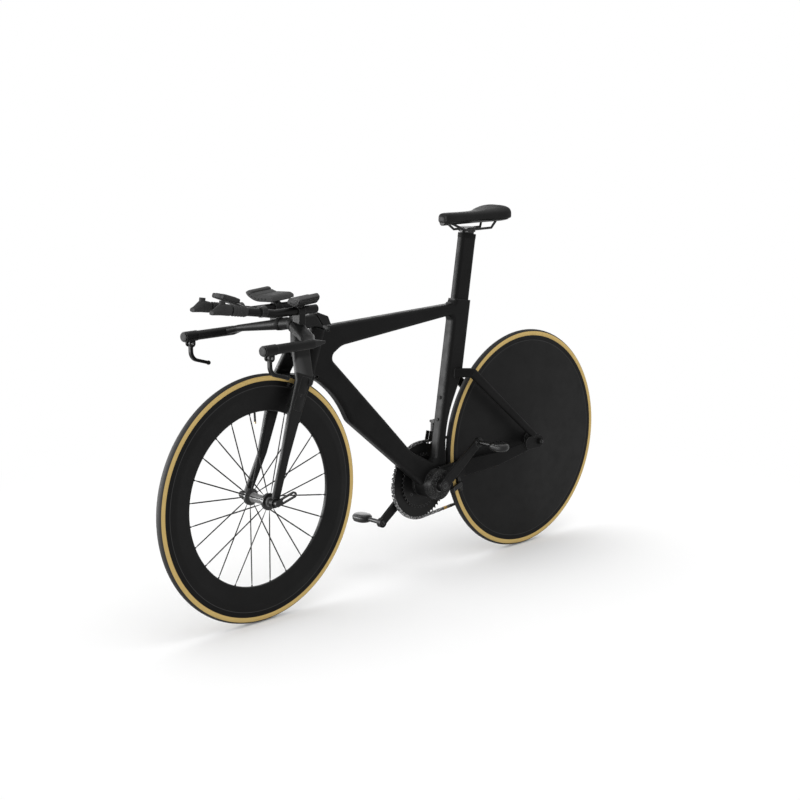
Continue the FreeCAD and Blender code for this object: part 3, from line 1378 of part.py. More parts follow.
def front_axle():
    half = FORK_HUB_WIDTH / 2
    shaft = cross_rod(FRONT_AXLE, -half, half, AXLE_RADIUS)
    stub = cross_rod(FRONT_AXLE, -half - OVERRUN, half + OVERRUN, AXLE_STUB_RADIUS)
    cap = cross_rod(FRONT_AXLE, HUB_HALF_WIDTH + BODY_GAP, half, AXLE_CAP_RADIUS)
    body = fused([shaft, stub, cap, mirrored(cap)])
    return body.cut(cross_rod(FRONT_AXLE, -WHEELBASE, WHEELBASE, SKEWER_RADIUS + GLUE_GAP))


def front_face():
    """Outer face of the fork's dropout eyes."""
    return FORK_HUB_WIDTH / 2 + max(LEG_WIDTHS[0], LEG_TIP_SPREAD + LEG_WIDTHS[0] / 2 - FORK_HUB_WIDTH / 2)


def front_skewer():
    face = front_face() + GLUE_GAP
    shaft = cross_rod(FRONT_AXLE, -face - SKEWER_NUT_LENGTH, face + SKEWER_HEAD_LENGTH, SKEWER_RADIUS)
    nut = cross_rod(FRONT_AXLE, -face - SKEWER_NUT_LENGTH, -face, SKEWER_NUT_RADIUS)
    head = cross_rod(FRONT_AXLE, face, face + SKEWER_HEAD_LENGTH, SKEWER_HEAD_RADIUS)
    return fused([shaft, nut, head])


def skewer_lever():
    """Quick release lever with an open loop, lying flat beside the fork."""
    start = front_face() + GLUE_GAP + SKEWER_HEAD_LENGTH + BODY_GAP
    way = side_way(LEVER_LOOP_ANGLE)
    middle = V(0, start + LEVER_LOOP_THICKNESS / 2, 0)
    eye = cross_rod(FRONT_AXLE, start, start + LEVER_LOOP_THICKNESS, SKEWER_HEAD_RADIUS)
    tip = FRONT_AXLE + way * LEVER_LOOP_LENGTH
    loop = bar(FRONT_AXLE + middle, tip + middle, LEVER_LOOP_WIDTH, LEVER_LOOP_THICKNESS, SIDEWAYS)
    near = FRONT_AXLE + way * (LEVER_LOOP_WIDTH + LEVER_LOOP_WALL)
    gap = LEVER_LOOP_WIDTH - 2 * LEVER_LOOP_WALL
    loop = loop.cut(bar(near + middle, tip + middle, gap, LEVER_LOOP_THICKNESS * 2, SIDEWAYS))
    return fused([loop, eye])


def disc_profile(wall, bed):
    track = RIM_OUTER_RADIUS - RIM_TRACK_DEPTH
    half = RIM_TRACK_WIDTH / 2 - wall
    inner = REAR_HUB_RADIUS + wall
    left = DISC_LEFT_HALF - wall
    right = DISC_RIGHT_HALF - wall
    outer = RIM_OUTER_RADIUS - bed
    return [
        (outer, half, 0), (track, half, 0), (DISC_HUB_RADIUS + wall, left, 0), (inner, left, 0),
        (inner, -right, 0), (DISC_HUB_RADIUS + wall, -right, 0), (track, -half, 0), (outer, -half, 0),
    ]


def rear_disc():
    body = tyre_bed(turned(disc_profile(0, 0), REAR_AXLE), REAR_AXLE)
    bed = RIM_OUTER_RADIUS - WHEEL_RADIUS + 2 * TYRE_SECTION_RADIUS + RIM_BED_WALL
    return body.cut(turned(disc_profile(DISC_WALL, bed), REAR_AXLE))


def cog_offset(index):
    return -CHAIN_LINE + (index - COG_IN_USE) * COG_PITCH


def freehub_ends():
    return cog_offset(0) - COG_PITCH, cog_offset(len(COG_TEETH) - 1) + COG_PITCH / 2


def rear_hub():
    outer, inner = freehub_ends()
    left = REAR_HUB_WIDTH / 2 - OVERRUN
    right = inner + BODY_GAP
    shell = cross_rod(REAR_AXLE, right, left, REAR_HUB_RADIUS - GLUE_GAP)
    neck = cross_rod(REAR_AXLE, DISC_LEFT_HALF + OVERRUN, left, REAR_HUB_RADIUS)
    barrel = cross_rod(REAR_AXLE, DISC_LEFT_HALF, left, HUB_RADIUS + OVERRUN / 2)
    body = shell.cut(neck).fuse(barrel)
    body = body.cut(cross_rod(REAR_AXLE, right, left, AXLE_RADIUS + BODY_GAP * 2))
    left_seat = cross_rod(REAR_AXLE, left - HUB_BEARING_WIDTH, left, HUB_BEARING_RADIUS + GLUE_GAP)
    right_seat = cross_rod(REAR_AXLE, right, right + HUB_BEARING_WIDTH, HUB_BEARING_RADIUS + GLUE_GAP)
    return body.cut(left_seat).cut(right_seat)


def rear_bearings():
    left = REAR_HUB_WIDTH / 2 - OVERRUN
    right = freehub_ends()[1] + BODY_GAP
    bore = AXLE_RADIUS + RUN_GAP
    near = cross_tube(REAR_AXLE, left - HUB_BEARING_WIDTH, left, HUB_BEARING_RADIUS, bore)
    far = cross_tube(REAR_AXLE, right, right + HUB_BEARING_WIDTH, HUB_BEARING_RADIUS, bore)
    return [near, far]


def rear_axle():
    half = REAR_HUB_WIDTH / 2
    face = half + DROPOUT_THICKNESS
    shaft = cross_rod(REAR_AXLE, -half, half, AXLE_RADIUS)
    nut_face = face + AXLE_NUT_LENGTH
    stub = cross_rod(REAR_AXLE, -nut_face, nut_face, AXLE_STUB_RADIUS)
    tip = nut_face + AXLE_END_LENGTH
    ends = cross_rod(REAR_AXLE, -tip, tip, AXLE_END_RADIUS)
    cap = cross_rod(REAR_AXLE, half - OVERRUN + BODY_GAP, half, AXLE_CAP_RADIUS)
    far_cap = cross_rod(REAR_AXLE, -half, freehub_ends()[0] - BODY_GAP, AXLE_CAP_RADIUS)
    return fused([shaft, stub, ends, cap, far_cap])


def axle_nuts():
    face = REAR_HUB_WIDTH / 2 + DROPOUT_THICKNESS
    bore = AXLE_STUB_RADIUS + GLUE_GAP
    ring = cross_tube(REAR_AXLE, face, face + AXLE_NUT_LENGTH, SKEWER_NUT_RADIUS, bore)
    return [ring, mirrored(ring)]


# Sprockets and chain

def pitch_radius(teeth):
    return PITCH / (2 * math.sin(math.pi / teeth))


def sprocket(teeth, bore, thickness, centre, offset, phase):
    """Toothed plate with roller seats at a phase angle, on a cross axis."""
    radius = pitch_radius(teeth)
    step = 360 / teeth
    seat = ROLLER_RADIUS + ROLLER_PLAY
    tip = radius + TOOTH_RISE
    spread = math.degrees(TOOTH_TIP / 2 / tip)
    edges = []
    for index in range(teeth):
        angle = phase + step * index
        roller = side_way(angle) * radius
        first = roller + side_way(angle + 180 + SEAT_SPREAD_ANGLE) * seat
        low = roller + side_way(angle + 180) * seat
        last = roller + side_way(angle + 180 - SEAT_SPREAD_ANGLE) * seat
        rise = side_way(angle + step / 2 - spread) * tip
        fall = side_way(angle + step / 2 + spread) * tip
        following = side_way(angle + step) * radius
        landing = following + side_way(angle + step + 180 + SEAT_SPREAD_ANGLE) * seat
        edges.append(Part.Arc(first, low, last).toShape())
        edges.append(Part.makeLine(last, rise))
        edges.append(Part.makeLine(rise, fall))
        edges.append(Part.makeLine(fall, landing))
    body = plate(Part.Wire(edges), -thickness / 2, thickness / 2)
    body.translate(V(centre.x, offset, centre.z))
    return body.cut(cross_rod(centre, offset - thickness, offset + thickness, bore))


GUIDE_AXLE = REAR_AXLE + V(GUIDE_AHEAD, 0, -GUIDE_DROP)


def wheels_of_path(lean):
    """Centre, teeth and turning sense of each toothed wheel in the order that the chain meets them."""
    tension = GUIDE_AXLE + side_way(lean) * CAGE_LENGTH
    cog = COG_TEETH[COG_IN_USE]
    wheels = [(CRANK_AXLE, OUTER_TEETH, 1), (REAR_AXLE, cog, 1)]
    return wheels + [(GUIDE_AXLE, PULLEY_TEETH, -1), (tension, PULLEY_TEETH, 1)]


def chain_runs(lean):
    """Angle of each straight run and its length, in order round the path."""
    wheels = wheels_of_path(lean)
    runs = []
    for index, (centre, teeth, sense) in enumerate(wheels):
        target, target_teeth, target_sense = wheels[(index + 1) % len(wheels)]
        span = target - centre
        shift = target_sense * pitch_radius(target_teeth) - sense * pitch_radius(teeth)
        heading = math.atan2(span.z, span.x) - math.asin(shift / span.Length)
        runs.append((heading, math.sqrt(span.Length ** 2 - shift ** 2)))
    return runs


def wrap_angle(wheels, runs, index):
    sense = wheels[index][2]
    return (sense * (runs[index][0] - runs[index - 1][0])) % (2 * math.pi)


def chain_length(lean):
    wheels = wheels_of_path(lean)
    runs = chain_runs(lean)
    total = sum(length for heading, length in runs)
    for index, (centre, teeth, sense) in enumerate(wheels):
        total += wrap_angle(wheels, runs, index) * teeth * PITCH / (2 * math.pi)
    return total


def cage_lean():
    """Cage angle at which the chain path holds a whole even number of pitches."""
    links = 2 * round(chain_length(CAGE_ANGLE) / (2 * PITCH))
    low = CAGE_ANGLE - CAGE_SEARCH_ANGLE
    high = CAGE_ANGLE + CAGE_SEARCH_ANGLE
    for step in range(CAGE_SEARCH_STEPS):
        middle = (low + high) / 2
        if (chain_length(middle) > links * PITCH) == (chain_length(high) > chain_length(low)):
            high = middle
        else:
            low = middle
    return middle, links


CAGE_LEAN, LINKS = cage_lean()
TENSION_AXLE = GUIDE_AXLE + side_way(CAGE_LEAN) * CAGE_LENGTH


def chain_joints():
    """Pin places round the path, with the seat angle of each toothed wheel."""
    wheels = wheels_of_path(CAGE_LEAN)
    runs = chain_runs(CAGE_LEAN)
    joints = []
    phases = [None] * len(wheels)
    travelled = 0
    count = 0
    for index, (centre, teeth, sense) in enumerate(wheels):
        arrival = runs[index - 1][0] - sense * math.pi / 2
        wrap = wrap_angle(wheels, runs, index)
        per_tooth = 2 * math.pi / teeth
        end = travelled + wrap / per_tooth * PITCH
        while count * PITCH < end and count < LINKS:
            angle = arrival + sense * (count * PITCH - travelled) / PITCH * per_tooth
            phases[index] = math.degrees(angle)
            joints.append(centre + side_way(math.degrees(angle)) * pitch_radius(teeth))
            count += 1
        travelled = end
        heading, length = runs[index]
        leave = centre + side_way(math.degrees(heading - sense * math.pi / 2)) * pitch_radius(teeth)
        while count * PITCH < travelled + length and count < LINKS:
            joints.append(leave + side_way(math.degrees(heading)) * (count * PITCH - travelled))
            count += 1
        travelled += length
    return joints, phases


CHAIN_JOINTS, SEAT_PHASES = chain_joints()


def link(start, end, outer):
    """One chain link: two plates with either two pins or two rollers."""
    inner_face = CHAIN_INNER_WIDTH / 2
    if outer:
        inner_face += CHAIN_PLATE + CHAIN_PLATE_GAP
    outer_face = inner_face + CHAIN_PLATE
    span = end - start
    way = V(span).normalize()
    length = span.Length + CHAIN_PLATE_DEPTH
    outline = stadium((start + end) / 2, way, SIDEWAYS.cross(way), length, CHAIN_PLATE_DEPTH)
    bodies = [plate(outline, inner_face, outer_face), plate(outline, -outer_face, -inner_face)]
    for place in (start, end):
        if outer:
            bodies.append(cross_rod(place, -outer_face, outer_face, CHAIN_PIN_RADIUS))
        else:
            bodies.append(cross_rod(place, -inner_face, inner_face, ROLLER_RADIUS))
    body = fused(bodies)
    if not outer:
        for place in (start, end):
            bore = CHAIN_PIN_RADIUS + GLUE_GAP
            body = body.cut(cross_rod(place, -outer_face - OVERRUN, outer_face + OVERRUN, bore))
    body.translate(V(0, -CHAIN_LINE, 0))
    return body


def chain():
    bodies = []
    for index in range(LINKS):
        bodies.append(link(CHAIN_JOINTS[index], CHAIN_JOINTS[(index + 1) % LINKS], index % 2 == 0))
    return Part.makeCompound(bodies)


def cassette():
    outer, inner = freehub_ends()
    bodies = [cross_rod(REAR_AXLE, outer, inner, COG_CORE_RADIUS)]
    phase = SEAT_PHASES[1]
    for index, teeth in enumerate(COG_TEETH):
        bodies.append(sprocket(teeth, AXLE_RADIUS, TOOTH_THICKNESS, REAR_AXLE, cog_offset(index), phase))
    body = bodies[0].multiFuse(bodies[1:])
    return body.cut(cross_rod(REAR_AXLE, outer - OVERRUN, inner + OVERRUN, AXLE_RADIUS + RUN_GAP))


def pulley(centre, phase):
    body = sprocket(PULLEY_TEETH, PULLEY_BOLT_RADIUS, TOOTH_THICKNESS, centre, -CHAIN_LINE, phase)
    half = PULLEY_HUB_WIDTH / 2
    hub = cross_rod(centre, -CHAIN_LINE - half, -CHAIN_LINE + half, PULLEY_HUB_RADIUS)
    bore = PULLEY_BOLT_RADIUS + RUN_GAP
    return body.fuse(hub).cut(cross_rod(centre, -CHAIN_LINE - half * 2, -CHAIN_LINE + half * 2, bore))


def guide_pulley():
    return pulley(GUIDE_AXLE, SEAT_PHASES[2])


def tension_pulley():
    return pulley(TENSION_AXLE, SEAT_PHASES[3])


# Rear derailleur

def cage_faces():
    """Inner and outer faces of the outboard cage plate."""
    inner = PULLEY_HUB_WIDTH / 2 + BODY_GAP
    return inner, inner + CAGE_PLATE


def rear_cage():
    inner, outer = cage_faces()
    bodies = []
    for face in (inner, -outer):
        shape = bar(GUIDE_AXLE, TENSION_AXLE, CAGE_WIDTH, CAGE_PLATE, SIDEWAYS)
        shape.translate(V(0, face + CAGE_PLATE / 2 - CHAIN_LINE, 0))
        bodies.append(shape)
    for centre in (GUIDE_AXLE, TENSION_AXLE):
        bodies.append(cross_rod(centre, -CHAIN_LINE - outer, -CHAIN_LINE + outer, PULLEY_BOLT_RADIUS))
    stub_end = -CHAIN_LINE - outer - CAGE_STUB_LENGTH
    bodies.append(cross_rod(GUIDE_AXLE, stub_end, -CHAIN_LINE - outer, KNUCKLE_PIN_RADIUS))
    return fused(bodies)


def knuckle_start():
    return -CHAIN_LINE - cage_faces()[1] - BODY_GAP


def upper_pivot():
    """Middle of the upper knuckle, outboard of the hanger."""
    outside = -REAR_HUB_WIDTH / 2 - DROPOUT_THICKNESS - BODY_GAP - KNUCKLE_LENGTH / 2
    return REAR_AXLE + V(0, outside, -HANGER_DROP)


def lower_pivot():
    return V(GUIDE_AXLE.x, knuckle_start() - KNUCKLE_LENGTH / 2, GUIDE_AXLE.z)


def link_axes():
    """Pivot direction of the parallelogram and the direction across its two links."""
    run = lower_pivot() - upper_pivot()
    along = V(run).normalize()
    swing = along.cross(SIDEWAYS).normalize()
    return along, swing, swing.cross(along)


def link_lug(centre, inward):
    """Two ears with a pin for each link, standing off a knuckle."""
    along, swing, across = link_axes()
    end = centre + along * (LINK_REACH * inward)
    side = LINK_WIDTH / 2 + BODY_GAP + LINK_EAR / 2
    bodies = []
    for shift in (side, -side):
        ear = bar(centre, end, LINK_EAR_WIDTH, LINK_EAR, swing)
        ear.translate(swing * shift)
        bodies.append(ear)
    reach = swing * (side + LINK_EAR / 2)
    for offset in (LINK_OFFSET, -LINK_OFFSET):
        pin = end + across * offset
        bodies.append(rod(pin - reach, pin + reach, LINK_PIN_RADIUS))
    return bodies


def upper_knuckle():
    centre = upper_pivot()
    half = KNUCKLE_LENGTH / 2
    barrel = cross_rod(centre, centre.y - half, centre.y + half, KNUCKLE_RADIUS)
    bolt = cross_rod(centre, centre.y, -REAR_HUB_WIDTH / 2, KNUCKLE_PIN_RADIUS)
    body = fused([barrel] + link_lug(centre, 1))
    return fused([body.cut(hanger_bar(BODY_GAP)), bolt])


def lower_knuckle():
    centre = lower_pivot()
    half = KNUCKLE_LENGTH / 2
    barrel = cross_rod(centre, centre.y - half, centre.y + half, KNUCKLE_RADIUS)
    body = fused([barrel] + link_lug(centre, -1))
    bore = KNUCKLE_PIN_RADIUS + RUN_GAP
    body = body.cut(cross_rod(GUIDE_AXLE, centre.y - half, centre.y + half, bore))
    return largest(body.cut(cross_rod(GUIDE_AXLE, knuckle_start(), 0, CAGE_LENGTH)))


def link_ends(side):
    along, swing, across = link_axes()
    shift = across * (LINK_OFFSET * side)
    reach = along * LINK_REACH
    return upper_pivot() + shift + reach, lower_pivot() + shift - reach


def derailleur_link(side):
    start, end = link_ends(side)
    along, swing, across = link_axes()
    body = bar(start, end, LINK_THICKNESS, LINK_WIDTH, swing)
    reach = swing * LINK_WIDTH
    for place in (start, end):
        body = body.cut(rod(place - reach, place + reach, LINK_PIN_RADIUS + RUN_GAP))
    return body


# Front derailleur

def front_cage_pivot():
    return CRANK_AXLE + V(-FRONT_CAGE_PIVOT_BACK, -FRONT_CAGE_PIVOT_SPREAD, FRONT_CAGE_PIVOT_RISE)


def front_cage():
    low = pitch_radius(OUTER_TEETH) + CAGE_BOTTOM_GAP
    high = low + FRONT_CAGE_HEIGHT
    middle = (FRONT_CAGE_FRONT_ANGLE + FRONT_CAGE_REAR_ANGLE) / 2
    angles = (FRONT_CAGE_FRONT_ANGLE, middle, FRONT_CAGE_REAR_ANGLE)
    spots = [CRANK_AXLE + side_way(angle) * radius for radius in (low, high) for angle in angles]
    outline = Part.Wire([
        Part.Arc(spots[0], spots[1], spots[2]).toShape(),
        Part.makeLine(spots[2], spots[5]),
        Part.Arc(spots[5], spots[4], spots[3]).toShape(),
        Part.makeLine(spots[3], spots[0]),
    ])
    half = FRONT_CAGE_HALF_WIDTH
    near = plate(outline, -CHAIN_LINE + half, -CHAIN_LINE + half + FRONT_CAGE_PLATE)
    far = plate(outline, -CHAIN_LINE - half - FRONT_CAGE_PLATE, -CHAIN_LINE - half)
    wide = FRONT_CAGE_PLATE + half
    top = spots[4] - side_way(angles[1]) * FRONT_CAGE_PLATE
    reach = V(FRONT_CAGE_ARM_WIDTH, 0, 0)
    bridge = bar(top - reach, top + reach, FRONT_CAGE_PLATE * 2, wide * 2, SIDEWAYS)
    bridge.translate(V(0, -CHAIN_LINE, 0))
    pivot = front_cage_pivot()
    foot = V(pivot.x, -CHAIN_LINE + half + FRONT_CAGE_PLATE / 2, spots[4].z)
    arm = bar(pivot, foot, FRONT_CAGE_ARM_WIDTH, FRONT_CAGE_ARM_LENGTH, V(1, 0, 0))
    body = fused([near, far, bridge, arm])
    reach = V(FRONT_CAGE_ARM_LENGTH, 0, 0)
    return body.cut(rod(pivot - reach, pivot + reach, FRONT_CAGE_PIN_RADIUS + RUN_GAP))


def front_cage_bracket():
    """Pin on two ears that stand off the right side of the seat tube."""
    pivot = front_cage_pivot()
    half = FRONT_CAGE_ARM_LENGTH / 2 + BODY_GAP
    reach = V(half + BRAKE_EAR, 0, 0)
    pin = rod(pivot - reach, pivot + reach, FRONT_CAGE_PIN_RADIUS)
    bodies = [pin]
    inside = V(pivot.x, -FRAME_WIDTH / 2 + FRONT_CAGE_PLATE, pivot.z)
    for way in (1, -1):
        shift = V((half + BRAKE_EAR / 2) * way, 0, 0)
        bodies.append(bar(pivot + shift, inside + shift, FRONT_CAGE_ARM_WIDTH, BRAKE_EAR, V(1, 0, 0)))
    return bodies


def front_bracket(frame):
    return fused(front_cage_bracket()).cut(frame)


# Cranks and pedals

def crank_way(side):
    return side_way(CRANK_ANGLE if side > 0 else CRANK_ANGLE + 180)


def pedal_axle(side):
    return CRANK_AXLE + crank_way(side) * CRANK_LENGTH


def crank_arm(side, boss_start):
    """Tapered arm that leans outwards towards the pedal, on a round boss."""
    way = crank_way(side)
    across = side_way(CRANK_ANGLE + 90)
    face = CRANK_FACE * side
    root = CRANK_AXLE + SIDEWAYS * (face + CRANK_THICKNESS / 2 * side)
    tip = root + way * CRANK_LENGTH + SIDEWAYS * (CRANK_FLARE * side)
    thick = (tip - root).normalize().cross(across)
    root_half = across * (CRANK_ROOT_RADIUS * CRANK_BLADE_SHARE)
    tip_half = across * (CRANK_TIP_RADIUS * CRANK_BLADE_SHARE)
    outline = plain([root - root_half, tip - tip_half, tip + tip_half, root + root_half])
    blade = plate(outline, -CRANK_THICKNESS / 2, CRANK_THICKNESS / 2, thick)
    blade = blade.makeFillet(CRANK_EDGE, [edge for edge in blade.Edges if edge.Length > CRANK_LENGTH / 2])
    boss = cross_rod(CRANK_AXLE, boss_start, face + CRANK_THICKNESS * side, CRANK_ROOT_RADIUS)
    outer = face + (CRANK_FLARE + CRANK_THICKNESS) * side
    eye = cross_rod(pedal_axle(side), outer - CRANK_THICKNESS * side, outer, CRANK_TIP_RADIUS)
    return fused([blade, boss, eye])


def spindle():
    return cross_rod(CRANK_AXLE, -CRANK_FACE, CRANK_FACE + CRANK_THICKNESS, SPINDLE_RADIUS)


def left_crank():
    start = CRANK_SHELL_LEFT + BODY_GAP
    body = crank_arm(1, start)
    body = body.cut(cross_rod(CRANK_AXLE, start, CRANK_FACE * 2, SPINDLE_RADIUS + GLUE_GAP))
    return body.cut(pedal_thread(1, GLUE_GAP))


def spider_faces():
    """Outer and inner faces of the spider, between the two chainrings."""
    return -CHAIN_LINE + TOOTH_THICKNESS / 2, -CHAIN_LINE + TOOTH_THICKNESS / 2 + SPIDER_THICKNESS


def right_crank():
    outer, inner = spider_faces()
    bodies = [crank_arm(-1, inner), spindle()]
    for index in range(RING_BOLTS):
        place = CRANK_AXLE + ring_bolt_way(index) * RING_BOLT_CIRCLE
        arm = bar(CRANK_AXLE, place, SPIDER_ARM_WIDTH, SPIDER_THICKNESS, SIDEWAYS)
        arm.translate(V(0, (outer + inner) / 2, 0))
        bodies.append(arm)
    body = fused(bodies)
    body = body.cut(Part.makeCompound(ring_bolts(GLUE_GAP)))
    return body.cut(pedal_thread(-1, GLUE_GAP))


def ring_bolt_way(index):
    return side_way(CRANK_ANGLE + 360 / RING_BOLTS * (index + 0.5))


def ring_bolts(spare=0):
    outer, inner = spider_faces()
    bodies = []
    for index in range(RING_BOLTS):
        place = CRANK_AXLE + ring_bolt_way(index) * RING_BOLT_CIRCLE
        start = outer - TOOTH_THICKNESS
        end = inner + TOOTH_THICKNESS
        bodies.append(cross_rod(place, start, end, RING_BOLT_RADIUS + spare))
    return bodies


def chainring(teeth, offset, phase):
    body = sprocket(teeth, RING_BORE, TOOTH_THICKNESS, CRANK_AXLE, offset, phase)
    return body.cut(Part.makeCompound(ring_bolts(GLUE_GAP)))


def outer_ring():
    return chainring(OUTER_TEETH, -CHAIN_LINE, SEAT_PHASES[0])


def inner_ring():
    return chainring(INNER_TEETH, spider_faces()[1] + TOOTH_THICKNESS / 2, SEAT_PHASES[0])


def crank_outside():
    return CRANK_FACE + CRANK_FLARE + CRANK_THICKNESS


def pedal_thread(side, spare=0):
    start = (crank_outside() - CRANK_THICKNESS) * side
    return cross_rod(pedal_axle(side), start, crank_outside() * side, PEDAL_THREAD_RADIUS + spare)


def pedal_spindle(side):
    outside = crank_outside()
    washer_end = outside + PEDAL_WASHER
    shaft_end = outside + PEDAL_SPINDLE_LENGTH
    centre = pedal_axle(side)
    thread = pedal_thread(side)
    washer = cross_rod(centre, outside * side, washer_end * side, PEDAL_WASHER_RADIUS)
    shaft = cross_rod(centre, outside * side, shaft_end * side, PEDAL_SPINDLE_RADIUS)
    return fused([thread, washer, shaft])


def pedal(side):
    """Oval clip platform that turns on its spindle."""
    start = crank_outside() + PEDAL_START
    centre = pedal_axle(side)
    middle = V(centre.x, (start + PEDAL_LENGTH / 2) * side, centre.z)
    outline = stadium(middle, SIDEWAYS, V(1, 0, 0), PEDAL_LENGTH, PEDAL_WIDTH)
    body = plate(outline, -PEDAL_HEIGHT / 2, PEDAL_HEIGHT / 2, UP)
    body = eased(body, PEDAL_EDGE, UP)
    neck_start = crank_outside() + PEDAL_WASHER + BODY_GAP
    neck = cross_rod(centre, neck_start * side, (start + PEDAL_EDGE * 2) * side, PEDAL_NECK_RADIUS)
    body = fused([body, neck])
    bore_end = crank_outside() + PEDAL_SPINDLE_LENGTH + BODY_GAP
    return body.cut(cross_rod(centre, 0, bore_end * side, PEDAL_SPINDLE_RADIUS + RUN_GAP))


# Rim brakes

def brake_axes(angle):
    """Outward and tangential directions of the wheel at a brake."""
    return side_way(angle), side_way(angle + 90)


def brake_pivot(centre, angle, reach, spread):
    outward, along = brake_axes(angle)
    return centre + outward * (PAD_RADIUS + reach) + SIDEWAYS * spread


def brake_arm(centre, angle, reach, spread):
    """Arm on the left of a rim with its brake block."""
    outward, along = brake_axes(angle)
    block_face = RIM_TRACK_WIDTH / 2 + PAD_RIM_GAP
    block = Part.makeBox(PAD_BLOCK_LENGTH, PAD_BLOCK_DEPTH, PAD_HEIGHT)
    block.translate(V(-PAD_BLOCK_LENGTH / 2, block_face, -PAD_HEIGHT / 2))
    block.rotate(V(0, 0, 0), SIDEWAYS, -(angle + 90))
    block.translate(centre + outward * PAD_RADIUS)
    pivot = brake_pivot(centre, angle, reach, spread)
    holder = block_face + PAD_BLOCK_DEPTH - BRAKE_ARM_THICKNESS / 4
    tip = centre + outward * PAD_RADIUS + SIDEWAYS * (holder + BRAKE_ARM_THICKNESS / 2)
    arm = bar(tip, pivot, BRAKE_ARM_THICKNESS, BRAKE_ARM_WIDTH, along)
    half = along * (BRAKE_ARM_WIDTH / 2)
    body = fused([block, arm, rod(pivot - half, pivot + half, BRAKE_EYE_RADIUS)])
    return body.cut(rod(pivot - half * 2, pivot + half * 2, BRAKE_PIN_RADIUS + RUN_GAP))


def front_brake():
    return brake_arm(FRONT_AXLE, FRONT_BRAKE_ANGLE, -FRONT_BRAKE_REACH, FRONT_BRAKE_SPREAD)


def rear_brake():
    return brake_arm(REAR_AXLE, REAR_BRAKE_ANGLE, REAR_BRAKE_REACH, REAR_BRAKE_SPREAD)


def front_ears():
    """Pivot pin of a front brake arm with an ear at each end, let into the fork leg."""
    pivot = brake_pivot(FRONT_AXLE, FRONT_BRAKE_ANGLE, -FRONT_BRAKE_REACH, FRONT_BRAKE_SPREAD)
    outward, along = brake_axes(FRONT_BRAKE_ANGLE)
    half = BRAKE_ARM_WIDTH / 2 + BODY_GAP
    reach = along * (half + BRAKE_EAR)
    bodies = [rod(pivot - reach, pivot + reach, BRAKE_PIN_RADIUS)]
    leg = V(pivot.x, FORK_SPREAD, pivot.z)
    for way in (1, -1):
        shift = along * ((half + BRAKE_EAR / 2) * way)
        bodies.append(bar(pivot + shift, leg + shift, BRAKE_EYE_RADIUS * 2, BRAKE_EAR, along))
    return fused(bodies)


def rear_brake_pin(radius):
    pivot = brake_pivot(REAR_AXLE, REAR_BRAKE_ANGLE, REAR_BRAKE_REACH, REAR_BRAKE_SPREAD)
    outward, along = brake_axes(REAR_BRAKE_ANGLE)
    start = pivot - along * (BRAKE_ARM_WIDTH / 2 + BODY_GAP)
    return rod(start, start + along * REAR_PIN_LENGTH, radius)


def rear_pins():
    pivot = brake_pivot(REAR_AXLE, REAR_BRAKE_ANGLE, REAR_BRAKE_REACH, REAR_BRAKE_SPREAD)
    outward, along = brake_axes(REAR_BRAKE_ANGLE)
    start = pivot - along * (BRAKE_ARM_WIDTH / 2 + BODY_GAP)
    head = rod(start - along * BOLT_HEAD_HEIGHT, start, BRAKE_PIN_HEAD_RADIUS)
    pin = fused([rear_brake_pin(BRAKE_PIN_RADIUS), head])
    return [pin, mirrored(pin)]


def frame_bearings():
    return Part.makeCompound(head_bearings() + crank_bearings())


def frame_fasteners():
    return Part.makeCompound(bottle_bolts() + axle_nuts() + rear_pins())


def stays(frame):
    upper = largest(seat_stay(frame))
    lower = largest(chain_stay(frame).cut(upper))
    return Part.makeCompound([upper, mirrored(upper), lower, mirrored(lower)])


def crank_fasteners():
    return Part.makeCompound(ring_bolts() + [pedal_spindle(1), pedal_spindle(-1)])


